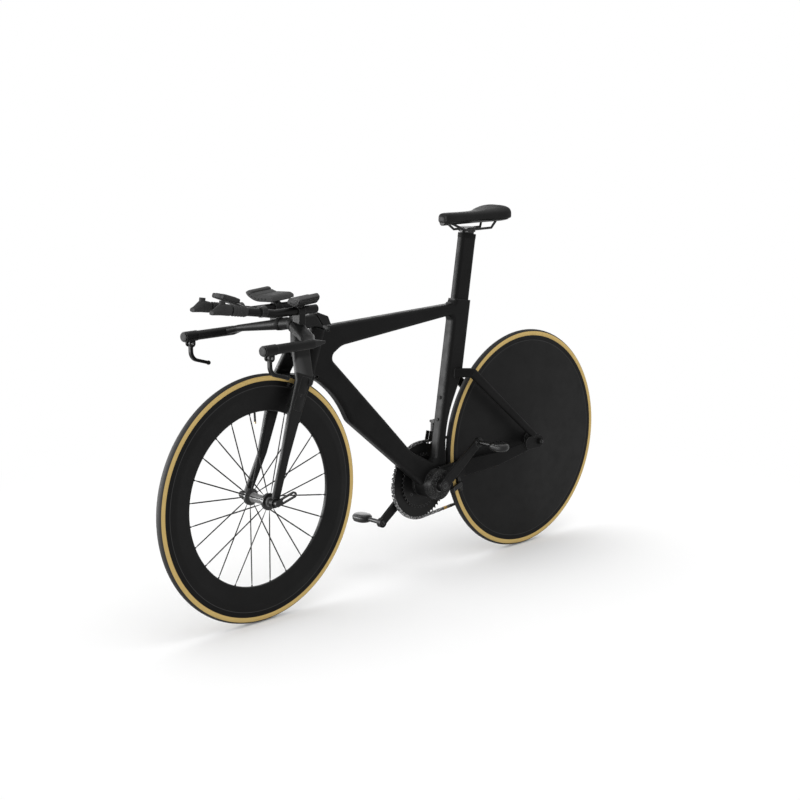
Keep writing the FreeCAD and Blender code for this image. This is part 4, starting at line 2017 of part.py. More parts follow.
def pieces():
    """Every piece by name."""
    frame = main_frame()
    return {
        "main_frame": frame,
        "stays": stays(frame),
        "rear_dropouts": rear_dropouts(),
        "frame_bearings": frame_bearings(),
        "frame_fasteners": frame_fasteners(),
        "rear_axle": rear_axle(),
        "front_derailleur_bracket": front_bracket(frame),
        "front_derailleur_cage": front_cage(),
        "derailleur_upper_knuckle": upper_knuckle(),
        "derailleur_outer_link": derailleur_link(-1),
        "derailleur_inner_link": derailleur_link(1),
        "derailleur_lower_knuckle": lower_knuckle(),
        "derailleur_cage": rear_cage(),
        "guide_pulley": guide_pulley(),
        "tension_pulley": tension_pulley(),
        "chain": chain(),
        "seat_post": seat_post(),
        "saddle_clamp": Part.makeCompound([clamp_cradle(), clamp_cap()]),
        "saddle_rails": both(rail()),
        "saddle_base": saddle_base(),
        "saddle_pad": saddle_pad(),
        "fork": fork(),
        "stem": stem(),
        "stem_cover": stem_cover(),
        "base_bar": base_bar(),
        "lever_housings": both(Part.makeCompound([lever_housing(), lever_pin()])),
        "brake_lever_left": brake_lever(),
        "brake_lever_right": mirrored(brake_lever()),
        "risers": both(riser().cut(base_bar())),
        "extensions": both(extension()),
        "grips": both(grip()),
        "shifters": both(shifter()),
        "shift_button_left": button(),
        "shift_button_right": mirrored(button()),
        "pad_cups": both(pad_cup()),
        "arm_pads": both(arm_pad()),
        "computer_mount": computer_mount(),
        "computer": computer(),
        "front_brake_left": front_brake(),
        "front_brake_right": mirrored(front_brake()),
        "rear_brake_left": rear_brake(),
        "rear_brake_right": mirrored(rear_brake()),
        "front_axle": Part.makeCompound([front_axle(), front_skewer()]),
        "front_skewer_lever": skewer_lever(),
        "front_tyre": tyre(FRONT_AXLE),
        "front_rim": front_rim(),
        "spokes": spokes(),
        "valve": valve(),
        "front_hub": Part.makeCompound([front_hub()] + front_bearings()),
        "rear_tyre": tyre(REAR_AXLE),
        "rear_disc": rear_disc(),
        "rear_hub": Part.makeCompound([rear_hub()] + rear_bearings()),
        "cassette": cassette(),
        "left_crank": left_crank(),
        "right_crank": right_crank(),
        "outer_ring": outer_ring(),
        "inner_ring": inner_ring(),
        "crank_fasteners": crank_fasteners(),
        "pedal_left": pedal(1),
        "pedal_right": pedal(-1),
    }


def main():
    os.makedirs("parts", exist_ok=True)
    for name, shape in pieces().items():
        shape.exportStep("parts/" + name + ".step")


main()
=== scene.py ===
import math

import bmesh
import bpy
from mathutils import Matrix, Vector


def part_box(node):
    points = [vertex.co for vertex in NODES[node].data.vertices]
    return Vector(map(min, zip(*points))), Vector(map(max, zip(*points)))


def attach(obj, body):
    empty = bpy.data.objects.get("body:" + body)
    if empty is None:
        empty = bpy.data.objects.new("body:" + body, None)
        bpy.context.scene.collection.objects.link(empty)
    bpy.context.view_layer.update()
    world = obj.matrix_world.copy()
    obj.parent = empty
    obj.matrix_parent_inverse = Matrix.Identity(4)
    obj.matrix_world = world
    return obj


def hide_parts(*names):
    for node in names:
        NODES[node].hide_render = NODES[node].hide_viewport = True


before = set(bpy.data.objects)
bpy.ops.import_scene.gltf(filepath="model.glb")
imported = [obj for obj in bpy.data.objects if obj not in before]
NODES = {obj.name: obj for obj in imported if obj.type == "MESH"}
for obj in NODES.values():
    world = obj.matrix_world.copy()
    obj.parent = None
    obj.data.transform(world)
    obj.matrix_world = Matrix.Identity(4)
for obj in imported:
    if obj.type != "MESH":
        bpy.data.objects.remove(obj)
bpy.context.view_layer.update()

# Places in metres, in the part's own frame: +X forward, +Y to the left, +Z up
AHEAD = Vector((1, 0, 0))
SIDEWAYS = Vector((0, 1, 0))
UP = Vector((0, 0, 1))
FRONT_AXLE = Vector((0.525, 0, 0.334))
REAR_AXLE = Vector((-0.525, 0, 0.334))
CRANK_AXLE = Vector((-0.121, 0, 0.264))
SEAT_ANGLE = math.radians(80.8)
SEAT_WAY = Vector((-math.cos(SEAT_ANGLE), 0, math.sin(SEAT_ANGLE)))
SEAT_AHEAD = Vector((math.sin(SEAT_ANGLE), 0, math.cos(SEAT_ANGLE)))

# Marks in the finishes: rough crank shell, painted highlight on the fork shoulders, gold link and valve tip
SHELL_RADIUS = 0.0445
SHELL_SIDE = 0.0195
SHELL_FADE = 0.0010
SHOULDER_PLACE = Vector((0.430, 0, 0.6665))
SHOULDER_SLOPE = 0.375
SHOULDER_HEIGHT = 0.085
SHOULDER_SIDE = 0.030
SHOULDER_FADE = 0.0012
# Light gray of the crank shell's specks and of the painted highlight on the fork shoulders
SPECK_AND_HIGHLIGHT_GRAY = 0.075
GOLD_LINK = Vector((-0.2276, -0.041, 0.1553))
GOLD_LINK_HALF_LENGTH = 0.0065
GOLD_LINK_TOP = 0.014
GOLD_LINK_FADE = 0.002
GOLD = (0.55, 0.36, 0.10, 1.0)
VALVE_TIP_RADIUS = 0.2103
FINE_FADE = 0.0003

# Wheel markings
TAN_START_RADIUS = 0.3163
TAN_END_RADIUS = 0.3285
TAN_FADE = 0.0004
TAN_DARK = (0.45, 0.315, 0.108, 1.0)
TAN_LIGHT = (0.54, 0.385, 0.140, 1.0)
TAN_THREAD = (0.34, 0.235, 0.080, 1.0)
TRACK_RADIUS = 0.302
LINE_WIDTH = 0.0009

# Textures: scales in features to the metre, edge radii and depths in metres
CLOUD_SCALE = 9.0
EDGE_PATCH_SCALE = 60.0
SHEEN_SCALE = 38.0
GRAIN_SCALE = 900.0
SPECK_SCALE = 520.0
STEEL_CLOUD_SCALE = 140.0
STEEL_SHEEN_SCALE = 260.0
STEEL_GRAIN_SCALE = 1500.0
TYRE_CLOUD_SCALE = 26.0
THREAD_SCALE = 700.0
TREAD_SCALE = 900.0
GLASS_CLOUD_SCALE = 30.0
GLASS_SHEEN_SCALE = 80.0
NOISE_MIDDLE = (0.3, 0.7)
SOFT_EDGE_RADIUS = 0.0012
STEEL_EDGE_RADIUS = 0.0003
# Lighter sharp edges: partly wear, partly a painted highlight
EDGE_WEAR_AND_HIGHLIGHT_RADIUS = 0.0020
EDGE_WEAR_AND_HIGHLIGHT_GAIN = 0.25
EDGE_WEAR_AND_HIGHLIGHT_LIGHTNESS = 18
SHEEN_CHANGE = 0.07
GRAIN_DEPTH = 0.0004
STEEL_GRAIN_DEPTH = 0.0002
TREAD_DEPTH = 0.0005

# Meshes
RING_POINTS = 40
FINE_POINTS = 64
BOLT_POINTS = 48
SHARP_ANGLE = math.radians(38)

# Front spokes
SPOKES = 24
HUB_FLANGE_SPREAD = 0.036
HUB_BARREL_RADIUS = 0.0126
SPOKE_START_RADIUS = 0.019
SPOKE_END_RADIUS = 0.241
SPOKE_WIDTH = 0.0038
SPOKE_DEPTH = 0.0024
SPOKE_POINTS = 12
SPOKE_SHARES = ((0.05, 0.55), (0.14, 1.0), (0.90, 1.0), (0.945, 0.6))

# Arm pads
PAD_MIDDLE = Vector((0.421, 0.068, 0.8941))
PAD_FLAT = 0.038
PAD_HALF_LENGTH = 0.0372
PAD_CURVE = 0.0458
PAD_THICKNESS = 0.0154
PAD_OUTER_ANGLE = math.radians(60)
PAD_BEND = PAD_CURVE - PAD_THICKNESS / 2
PAD_WIDTH = PAD_FLAT + PAD_BEND * PAD_OUTER_ANGLE
PAD_SKEW = math.tan(math.radians(20))
PAD_PITCH = math.radians(4)
PAD_ROUNDING = 0.0080
PAD_RIM_SHARE = 0.50
PAD_CORNER_START_SHARE = 0.80
PAD_CORNER_SHARE = 0.14
PAD_CHANNEL_WIDTH = 0.0021
PAD_CHANNELS = ((0.16, 0.0030), (0.66, 0.0050))
PAD_ACROSS = 56
PAD_ALONG = 30
PAD_SHARP_ANGLE = math.radians(50)
EYELET_RADIUS = 0.0024
EYELET_LIFT = 0.0005
EYELET_SEAT = 0.0012
EYELET_POINTS = 16
EYELET_RIM_SHARE = 0.62
EYELET_SHARES = (0.28, 0.40, 0.52, 0.64, 0.76, 0.87)

# Saddle
SADDLE_NOSE = -0.1654
SADDLE_LENGTH = 0.240
SADDLE_HALF_WIDTH = 0.067
SADDLE_FLOOR = 1.0150
SADDLE_CROWN = 0.0381
SADDLE_STATION_SHARES = (0.0, 0.02, 0.10, 0.32, 0.60, 0.82, 0.96, 1.0)
SADDLE_WIDTH_SHARES = (0.18, 0.27, 0.32, 0.36, 0.50, 0.90, 0.88, 0.58)
SADDLE_CROWN_SHARES = (0.52, 0.66, 0.70, 0.67, 0.69, 0.88, 1.0, 0.84)
SADDLE_SIDE_SHARE = 0.36
SADDLE_TOP_POWER = 2.9
SADDLE_FLOOR_POWER = 5.0
SADDLE_END_BULGE = 0.0035
SADDLE_BULGE_SHARES = ((0.25, 1.0), (0.55, 0.88), (0.80, 0.60), (0.93, 0.30))
SADDLE_SHARP_ANGLE = math.radians(60)
SADDLE_RINGS = 64
SADDLE_POINTS = 64

# Cockpit fittings
HOUSING_FACE = Vector((0.638, 0.158, 0.760))
HOUSING_GAP = 0.0002
HOUSING_NECK_RADIUS = 0.0100
HOUSING_CAP_RADIUS = 0.0122
HOUSING_NECK = 0.0018
HOUSING_CAP = 0.0034
HOUSING_CAP_SHARES = ((0.0, 0.90), (0.15, 0.98), (0.45, 1.0), (0.75, 0.95),
                      (0.92, 0.84), (1.0, 0.66), (0.96, 0.30), (0.90, 0.04))
LEVER_PIN = Vector((0.618, 0.158, 0.741))
LEVER_EAR_HALF = 0.0095
LEVER_BOLT_RADIUS = 0.0034
LEVER_BOLT_LIFT = 0.0011
BAND_START = 0.0200
BAND_END = 0.0300
BAND_WALL = 0.0016
BAND_SHARES = ((0.0, 0.0), (0.0, 0.7), (0.08, 1.0), (0.92, 1.0), (1.0, 0.7), (1.0, 0.0))
BAR_MIDDLE = Vector((0.403, 0, 0.789))
BAR_TIP = Vector((0.465, 0.128, 0.770))
BAR_CHORDS = (0.046, 0.050)
BAR_DEPTHS = (0.033, 0.018)
COMPUTER_MIDDLE = Vector((0.624, 0, 0.876))
COMPUTER_TILT = math.radians(18)
COMPUTER_LENGTH = 0.0595
COMPUTER_WIDTH = 0.0480
COMPUTER_CASE_DEPTH = 0.0142
COMPUTER_POWER = 3.2
COMPUTER_SHARES = ((-1.0, 0.80), (-0.94, 0.92), (-0.6, 1.0), (0.6, 1.0), (0.92, 0.93), (1.0, 0.84))
SCREEN_LENGTH = 0.044
SCREEN_WIDTH = 0.036
SCREEN_LIFT = 0.0007
SCREEN_POWER = 5.0
SCREEN_SHARES = ((-0.5, 1.0), (0.6, 1.0), (1.0, 0.97), (1.0, 0.90), (0.7, 0.88), (0.7, 0.03))
SOFTEN_GRID = 0.0010
SOFTEN_ROUNDS = 16
STEM_TOP = 0.806
STEM_BOLTS = ((0.346, 0.0095), (0.346, -0.0095), (0.384, 0.0095), (0.384, -0.0095))
BOLT_RADIUS = 0.0036
BOLT_LIFT = 0.0016

# Seat post, cranks, pedals and fork covers
POST_END = 0.7248
POST_SETBACK = 0.034
POST_CHORD = 0.064
POST_WIDTH = 0.025
POST_CAP_DEPTH = 0.0100
POST_CAP_RISE = 0.0040
POST_CAP_WALL = 0.0006
POST_CAP_SHARES = ((-1.0, -0.1), (-1.0, 0.6), (-0.9, 1.0), (0.5, 1.0), (0.9, 0.6),
                   (1.0, -1.0), (1.0, -14.0), (0.1, -14.0), (0.1, -0.1))
PLUG_PLACE = Vector((-0.2040, 0, 0.7812))
PLUG_LENGTH = 0.018
PLUG_WIDTH = 0.015
PLUG_LIFT = 0.0042
PLUG_SHARES = ((-0.3, 1.0), (0.4, 1.0), (0.8, 0.9), (1.0, 0.72), (1.0, 0.1))
CRANK_BOSS_FACE = 0.061
CRANK_CAP_RADIUS = 0.0135
CRANK_CAP_LIFT = 0.0012
PEDAL_LENGTH = 0.062
PEDAL_DOME = 0.0042
PEDAL_SHARES = ((-0.6, 0.90), (0.1, 0.90), (0.5, 0.84), (0.8, 0.70), (0.95, 0.48), (1.0, 0.20))
LEG_COVER_TOP = Vector((0.4035, 0.0536, 0.652))
LEG_COVER_FOOT = Vector((0.4385, 0.0531, 0.566))
LEG_COVER_WIDTH = 0.030
LEG_COVER_LIFT = 0.0006
LEG_COVER_POWER = 6.0
LEG_COVER_SHARES = ((-1.0, 1.0), (0.5, 1.0), (1.0, 0.97), (1.0, 0.05))
LEG_COVER_SPANS = ((0.0, 0.52), (0.55, 1.0))

# Camera and light
CAMERA_PLACE = Vector((3.2555, 3.2509, 1.4485))
CAMERA_TARGET = Vector((-0.4467, -0.4493, 0.3981))
CAMERA_LENS = 74.70
CAMERA_SENSOR = 36.0
CAMERA_REACH = 200.0
LAMP_TARGET = Vector((0, 0, 0.5))
FLOOR_HALF = 60.0
FLOOR_DROP = 0.0008
FLOOR_COLOUR = 0.90
FLOOR_GLOW = 0.0
FLOOR_NEAR = 0.75
FLOOR_FAR = 1.9
SKY_LIGHT = 1.0

# Lamps by name: place, width, height, power, and whether they light colour as well as gloss
LAMPS = {
    "reflector": (Vector((4.1, -1.9, 1.2)), 9.0, 2.4, 1650.0, False),
    "back_reflector": (Vector((-4.0, -4.0, 1.8)), 7.0, 2.2, 70.0, False),
    "overhead": (Vector((-0.2, 0.0, 4.2)), 4.0, 4.0, 52.0, True),
}


# Materials

class Surface:
    """A node material on a principled shader, drawn in the part's own coordinates."""

    def __init__(self, name, roughness, metallic=0.0, specular=0.5):
        self.made = bpy.data.materials.new(name)
        self.made.use_nodes = True
        self.tree = self.made.node_tree
        self.tree.nodes.clear()
        self.shader = self.node("ShaderNodeBsdfPrincipled")
        output = self.node("ShaderNodeOutputMaterial")
        self.link(self.shader.outputs["BSDF"], output.inputs["Surface"])
        self.set("Roughness", roughness)
        self.set("Metallic", metallic)
        self.set("Specular IOR Level", specular)
        self.place = self.node("ShaderNodeTexCoord").outputs["Object"]
        self.height = None

    def node(self, kind, **settings):
        made = self.tree.nodes.new(kind)
        for key, value in settings.items():
            setattr(made, key, value)
        return made

    def link(self, source, target):
        self.tree.links.new(source, target)

    def feed(self, socket, value):
        if isinstance(value, bpy.types.NodeSocket):
            self.link(value, socket)
        else:
            socket.default_value = value

    def set(self, name, value):
        self.feed(self.shader.inputs[name], value)

    def math(self, operation, first, second=0.0):
        made = self.node("ShaderNodeMath", operation=operation)
        self.feed(made.inputs[0], first)
        self.feed(made.inputs[1], second)
        return made.outputs[0]

    def noise(self, scale, detail=3.0):
        made = self.node("ShaderNodeTexNoise")
        made.inputs["Scale"].default_value = scale
        made.inputs["Detail"].default_value = detail
        self.link(self.place, made.inputs["Vector"])
        return made.outputs["Fac"]

    def cells(self, scale):
        """One in the middle of scattered cells, zero between them."""
        made = self.node("ShaderNodeTexVoronoi")
        made.inputs["Scale"].default_value = scale
        self.link(self.place, made.inputs["Vector"])
        return self.range(made.outputs["Distance"], 0.30, 0.55, 1.0, 0.0)

    def range(self, value, low, high, start=0.0, end=1.0):
        """Map low..high to start..end, held at both ends."""
        made = self.node("ShaderNodeMapRange")
        made.inputs["From Min"].default_value = low
        made.inputs["From Max"].default_value = high
        made.inputs["To Min"].default_value = start
        made.inputs["To Max"].default_value = end
        self.link(value, made.inputs["Value"])
        return made.outputs["Result"]

    def spread(self, noise, start, end):
        """Map the usual values of a noise to start..end."""
        return self.range(noise, NOISE_MIDDLE[0], NOISE_MIDDLE[1], start, end)

    def past(self, value, edge, fade):
        """Zero before an edge and one past it, with a fade on both sides."""
        return self.range(value, edge - fade, edge + fade)

    def within(self, value, edge, fade):
        """One before an edge and zero past it, with a fade on both sides."""
        return self.range(value, edge - fade, edge + fade, 1.0, 0.0)

    def near(self, value, target, width, peak=1.0):
        """Peak where a value meets its target, falling to zero at a width away."""
        away = self.math("ABSOLUTE", self.math("SUBTRACT", value, target))
        return self.range(away, 0.0, width, peak, 0.0)

    def mix(self, share, first, second):
        made = self.node("ShaderNodeMix", data_type="RGBA")
        self.feed(made.inputs["Factor"], share)
        colours = [socket for socket in made.inputs if socket.type == "RGBA"]
        for socket, value in zip(colours, (first, second)):
            self.feed(socket, value)
        return [socket for socket in made.outputs if socket.type == "RGBA"][0]

    def axes(self, origin):
        """X, Y and Z counted from a point."""
        made = self.node("ShaderNodeVectorMath", operation="SUBTRACT")
        self.link(self.place, made.inputs[0])
        made.inputs[1].default_value = origin
        split = self.node("ShaderNodeSeparateXYZ")
        self.link(made.outputs["Vector"], split.inputs[0])
        return split.outputs[0], split.outputs[1], split.outputs[2]

    def radius(self, origin):
        """Distance from a cross axis through a point."""
        x, y, z = self.axes(origin)
        squares = self.math("ADD", self.math("POWER", x, 2.0), self.math("POWER", z, 2.0))
        return self.math("SQRT", squares)

    def bump(self, height, strength, distance):
        """Raise the surface by a height, on top of what it already has."""
        made = self.node("ShaderNodeBump")
        made.inputs["Strength"].default_value = strength
        made.inputs["Distance"].default_value = distance
        self.link(height, made.inputs["Height"])
        if self.height is not None:
            self.link(self.height, made.inputs["Normal"])
        self.height = made.outputs["Normal"]
        self.link(self.height, self.shader.inputs["Normal"])

    def soft_edges(self, radius):
        """Catch light along sharp edges as if they were rounded."""
        made = self.node("ShaderNodeBevel", samples=4)
        made.inputs["Radius"].default_value = radius
        self.height = made.outputs["Normal"]
        self.link(self.height, self.shader.inputs["Normal"])

    def sharp_edge_mask(self, radius, gain):
        """One along sharp edges, zero on flat faces."""
        rounded = self.node("ShaderNodeBevel", samples=6)
        rounded.inputs["Radius"].default_value = radius
        face = self.node("ShaderNodeNewGeometry")
        along = self.node("ShaderNodeVectorMath", operation="DOT_PRODUCT")
        self.link(rounded.outputs["Normal"], along.inputs[0])
        self.link(face.outputs["Normal"], along.inputs[1])
        return self.range(along.outputs["Value"], 1.0, 1.0 - gain)


def gray(level, warmth=0.0):
    """Gray colour, or a warmer one with more red and less blue."""
    return (level * (1 + warmth), level, level * (1 - warmth), 1.0)


def satin(name, dark, light, roughness, specular=0.10, grain=GRAIN_SCALE, wear_and_highlight=0.35, marks=None):
    """Black finish with soft mottling, fine grain, rounded edges, and lighter sharp edges: partly wear,
    partly painted highlight.
    """
    made = Surface(name, roughness, specular=specular)
    made.soft_edges(SOFT_EDGE_RADIUS)
    cloud = made.noise(CLOUD_SCALE, detail=4.0)
    base = made.mix(made.range(cloud, 0.35, 0.65), gray(dark), gray(light))
    edge_patches = made.spread(made.noise(EDGE_PATCH_SCALE), wear_and_highlight * 0.5, wear_and_highlight)
    # Painted highlight and wear: sharp edges mixed towards a much lighter gray, broken up in patches
    worn_and_lit_edges = made.math("MULTIPLY", made.sharp_edge_mask(EDGE_WEAR_AND_HIGHLIGHT_RADIUS, EDGE_WEAR_AND_HIGHLIGHT_GAIN), edge_patches)
    colour = made.mix(worn_and_lit_edges, base, gray(light * EDGE_WEAR_AND_HIGHLIGHT_LIGHTNESS))
    if marks:
        colour = marks(made, colour)
    made.set("Base Color", colour)
    sheen = made.noise(SHEEN_SCALE, detail=5.0)
    made.set("Roughness", made.spread(sheen, roughness - SHEEN_CHANGE, roughness + SHEEN_CHANGE))
    made.bump(made.noise(grain, detail=2.0), strength=0.06, distance=GRAIN_DEPTH)
    return made.made


def wheel_lines(axle, level):
    """Thin lighter circle at the inner edge of the brake track, and a dark ring beside the tyre."""
    def marks(made, colour):
        radius = made.radius(axle)
        track = made.near(radius, TRACK_RADIUS, LINE_WIDTH, level)
        colour = made.mix(track, colour, gray(0.10))
        line_end = TRACK_RADIUS + LINE_WIDTH
        ring = made.range(radius, line_end, line_end + LINE_WIDTH, 0.0, 0.6)
        return made.mix(ring, colour, gray(0.0012))
    return marks


def shell_mottle(made, colour):
    """Rough light specks on the crank shell, around the crank axle."""
    radius = made.radius(CRANK_AXLE)
    x, y, z = made.axes(CRANK_AXLE)
    around = made.range(radius, SHELL_RADIUS, SHELL_RADIUS * 1.12, 1.0, 0.0)
    beside = made.past(made.math("ABSOLUTE", y), SHELL_SIDE, SHELL_FADE)
    specks = made.range(made.noise(SPECK_SCALE, detail=2.0), 0.50, 0.66)
    share = made.math("MULTIPLY", made.math("MULTIPLY", around, beside), specks)
    return made.mix(share, colour, gray(SPECK_AND_HIGHLIGHT_GRAY))


def painted_fork_highlight(made, colour):
    """Painted highlight: lighter upper outer faces of the fork legs, where the light falls on them."""
    x, y, z = made.axes(SHOULDER_PLACE)
    slope = made.math("SUBTRACT", z, made.math("MULTIPLY", x, SHOULDER_SLOPE))
    above = made.range(slope, 0.0, SHOULDER_FADE)
    below = made.range(z, SHOULDER_HEIGHT * 0.4, SHOULDER_HEIGHT, 1.0, 0.0)
    ahead = made.range(x, -SHOULDER_HEIGHT * 0.4, 0.0, 0.15, 1.0)
    beside = made.range(made.math("ABSOLUTE", y), SHOULDER_SIDE, SHOULDER_SIDE * 1.1)
    upper = made.math("MULTIPLY", above, below)
    share = made.math("MULTIPLY", upper, made.math("MULTIPLY", ahead, beside))
    return made.mix(share, colour, gray(SPECK_AND_HIGHLIGHT_GRAY))


def hub_middle(made, colour):
    """Brighter barrel between the two flanges of the front hub."""
    inside = made.range(made.radius(FRONT_AXLE), HUB_BARREL_RADIUS, HUB_BARREL_RADIUS * 1.1, 0.8, 0.0)
    return made.mix(inside, colour, gray(0.20))


def gold_link(made, colour):
    """One gold link in the lower run of the chain."""
    x, y, z = made.axes(GOLD_LINK)
    low = made.within(z, GOLD_LINK_TOP, GOLD_LINK_FADE)
    near = made.within(made.math("ABSOLUTE", x), GOLD_LINK_HALF_LENGTH, FINE_FADE)
    return made.mix(made.math("MULTIPLY", near, low), colour, GOLD)


def valve_tip(made, colour):
    """Dark stem with a brass end."""
    stem = made.past(made.radius(FRONT_AXLE), VALVE_TIP_RADIUS, FINE_FADE)
    return made.mix(stem, colour, gray(0.02))


def steel(name, level, roughness, tint=0.0, gap_shade_scale=0.0, marks=None):
    """Bare metal with a cloudy tone; with a gap scale, painted shade darkens the gaps between scattered
    specks, for the shaded gaps between chain links.
    """
    made = Surface(name, roughness, metallic=1.0)
    made.soft_edges(STEEL_EDGE_RADIUS)
    cloud = made.noise(STEEL_CLOUD_SCALE)
    colour = made.mix(cloud, gray(level * 0.6, tint), gray(level, tint))
    # Painted shade in the gaps between specks, standing in for the shaded gaps between chain links
    if gap_shade_scale:
        colour = made.mix(made.cells(gap_shade_scale), gray(level * 0.14, tint), colour)
    if marks:
        colour = marks(made, colour)
    made.set("Base Color", colour)
    sheen = made.noise(STEEL_SHEEN_SCALE)
    made.set("Roughness", made.spread(sheen, roughness - 0.08, roughness + 0.1))
    made.bump(made.noise(STEEL_GRAIN_SCALE, detail=2.0), strength=0.08, distance=STEEL_GRAIN_DEPTH)
    return made.made


def tyre(name, axle):
    """Black tread with fine grain, and a tan sidewall with fine threads."""
    made = Surface(name, roughness=0.72, specular=0.2)
    radius = made.radius(axle)
    cloud = made.noise(TYRE_CLOUD_SCALE, detail=5.0)
    threads = made.noise(THREAD_SCALE, detail=2.0)
    tan = made.mix(cloud, TAN_DARK, TAN_LIGHT)
    tan = made.mix(made.range(threads, 0.45, 0.75, 0.0, 0.25), tan, TAN_THREAD)
    tread = made.mix(cloud, gray(0.008), gray(0.016))
    inner = made.past(radius, TAN_START_RADIUS, TAN_FADE)
    outer = made.within(radius, TAN_END_RADIUS, TAN_FADE)
    made.set("Base Color", made.mix(made.math("MULTIPLY", inner, outer), tread, tan))
    made.bump(made.noise(TREAD_SCALE, detail=2.0), strength=0.15, distance=TREAD_DEPTH)
    return made.made


def glass(name):
    """Dark screen with a faint sheen that changes along it."""
    made = Surface(name, roughness=0.12)
    cloud = made.noise(GLASS_CLOUD_SCALE)
    made.set("Base Color", made.mix(cloud, gray(0.004), gray(0.010)))
    made.set("Roughness", made.spread(made.noise(GLASS_SHEEN_SCALE), 0.08, 0.20))
    return made.made


CARBON = satin("carbon_matte", 0.0040, 0.0058, 0.46, specular=0.07, wear_and_highlight=0.8, marks=shell_mottle)
# Fork finish carries the painted highlight on the fork shoulders
FORK_CARBON = satin("fork_carbon", 0.0040, 0.0058, 0.46, specular=0.125, wear_and_highlight=0.8, marks=painted_fork_highlight)
RIM_CARBON = satin("rim_carbon", 0.0040, 0.0056, 0.44, marks=wheel_lines(FRONT_AXLE, 0.55))
DISC_CARBON = satin("disc_carbon", 0.0044, 0.0064, 0.46, marks=wheel_lines(REAR_AXLE, 0.40))
MOULDED = satin("carbon_fittings", 0.0042, 0.0070, 0.42, wear_and_highlight=0.8)
METAL = satin("black_metal", 0.0055, 0.0100, 0.40, specular=0.20, wear_and_highlight=0.6)
HUB_METAL = satin("hub_metal", 0.0050, 0.0090, 0.36, specular=0.35, wear_and_highlight=0.5, marks=hub_middle)
BOLT_METAL = satin("dark_bolts", 0.0040, 0.0060, 0.50, specular=0.06, wear_and_highlight=0.0)
CAP_METAL = satin("cap_metal", 0.055, 0.075, 0.50, specular=0.03, wear_and_highlight=0.2)
RINGS = satin("ring_metal", 0.0040, 0.0075, 0.38, specular=0.12, wear_and_highlight=0.9)
RUBBER = satin("rubber", 0.0280, 0.0380, 0.62, specular=0.04, grain=1800.0, wear_and_highlight=0.1)
GRIP_RUBBER = satin("grip_rubber", 0.0040, 0.0065, 0.66, specular=0.06, grain=2400.0, wear_and_highlight=0.0)
FOAM = satin("pad_foam", 0.0580, 0.0740, 0.66, specular=0.05, grain=1400.0, wear_and_highlight=0.0)
LEATHER = satin("saddle_cover", 0.0070, 0.0095, 0.54, specular=0.09, grain=1100.0, wear_and_highlight=0.0)
PEDAL_GLOSS = satin("pedal_shell", 0.0050, 0.0090, 0.24, specular=0.32, wear_and_highlight=0.5)
STEEL = steel("bare_steel", 0.22, 0.42)
# Chain with painted shade between its specks, and one gold link
CHAIN = steel("chain_steel", 0.50, 0.46, gap_shade_scale=210.0, marks=gold_link)
COGS = steel("cog_steel", 0.24, 0.36)
BRASS = steel("valve_brass", 0.45, 0.34, 0.35, marks=valve_tip)
FRONT_TYRE = tyre("front_tyre_rubber", FRONT_AXLE)
REAR_TYRE = tyre("rear_tyre_rubber", REAR_AXLE)
SCREEN = glass("screen_glass")

FINISHES = {
    CARBON: ["main_frame", "stays", "seat_post", "rear_dropouts"],
    FORK_CARBON: ["fork", "stem", "stem_cover", "base_bar"],
    RIM_CARBON: ["front_rim"],
    DISC_CARBON: ["rear_disc"],
    MOULDED: ["extensions", "risers", "pad_cups", "saddle_base", "lever_housings", "brake_lever_left",
              "brake_lever_right", "left_crank", "right_crank"],
    METAL: ["front_derailleur_bracket", "front_derailleur_cage", "derailleur_upper_knuckle",
            "derailleur_outer_link", "derailleur_inner_link", "derailleur_lower_knuckle", "derailleur_cage",
            "rear_hub", "spokes", "saddle_clamp", "saddle_rails", "front_brake_left", "front_brake_right",
            "rear_brake_left", "rear_brake_right", "front_skewer_lever", "pedal_left", "pedal_right",
            "computer_mount", "rear_axle", "front_axle"],
    BOLT_METAL: ["frame_fasteners"],
    HUB_METAL: ["front_hub"],
    RINGS: ["outer_ring", "inner_ring", "crank_fasteners"],
    RUBBER: ["grips", "shifters", "shift_button_left", "shift_button_right", "guide_pulley",
             "tension_pulley", "computer"],
    FOAM: ["arm_pads", "saddle_pad"],
    CHAIN: ["chain"],
    COGS: ["cassette"],
    STEEL: ["frame_bearings"],
    BRASS: ["valve"],
    FRONT_TYRE: ["front_tyre"],
    REAR_TYRE: ["rear_tyre"],
}


def dress(node, finish):
    """Give a node one finish."""
    mesh = NODES[node].data
    mesh.materials.clear()
    mesh.materials.append(finish)


def soften(node):
    """Round the hard edges of a moulded node."""
    even = NODES[node].modifiers.new("even_faces", "REMESH")
    even.mode = "VOXEL"
    even.voxel_size = SOFTEN_GRID
    even.use_smooth_shade = True
    relax = NODES[node].modifiers.new("relaxed", "SMOOTH")
    relax.iterations = SOFTEN_ROUNDS


for finish, names in FINISHES.items():
    for name in names:
        dress(name, finish)
soften("shifters")


# Mesh pieces

def skin(rings, hollow=False):
    """Vertices and faces over rings of points; the ends are closed, or joined to each other."""
    count = len(rings[0])
    vertices = [place for ring in rings for place in ring]
    faces = []
    rows = len(rings) if hollow else len(rings) - 1
    for row in range(rows):
        for spot in range(count):
            first = row * count
            second = (row + 1) % len(rings) * count
            beside = (spot + 1) % count
            faces.append((first + spot, first + beside, second + beside, second + spot))
    if not hollow:
        faces.append(tuple(range(count - 1, -1, -1)))
        faces.append(tuple(range(len(vertices) - count, len(vertices))))
    return vertices, faces


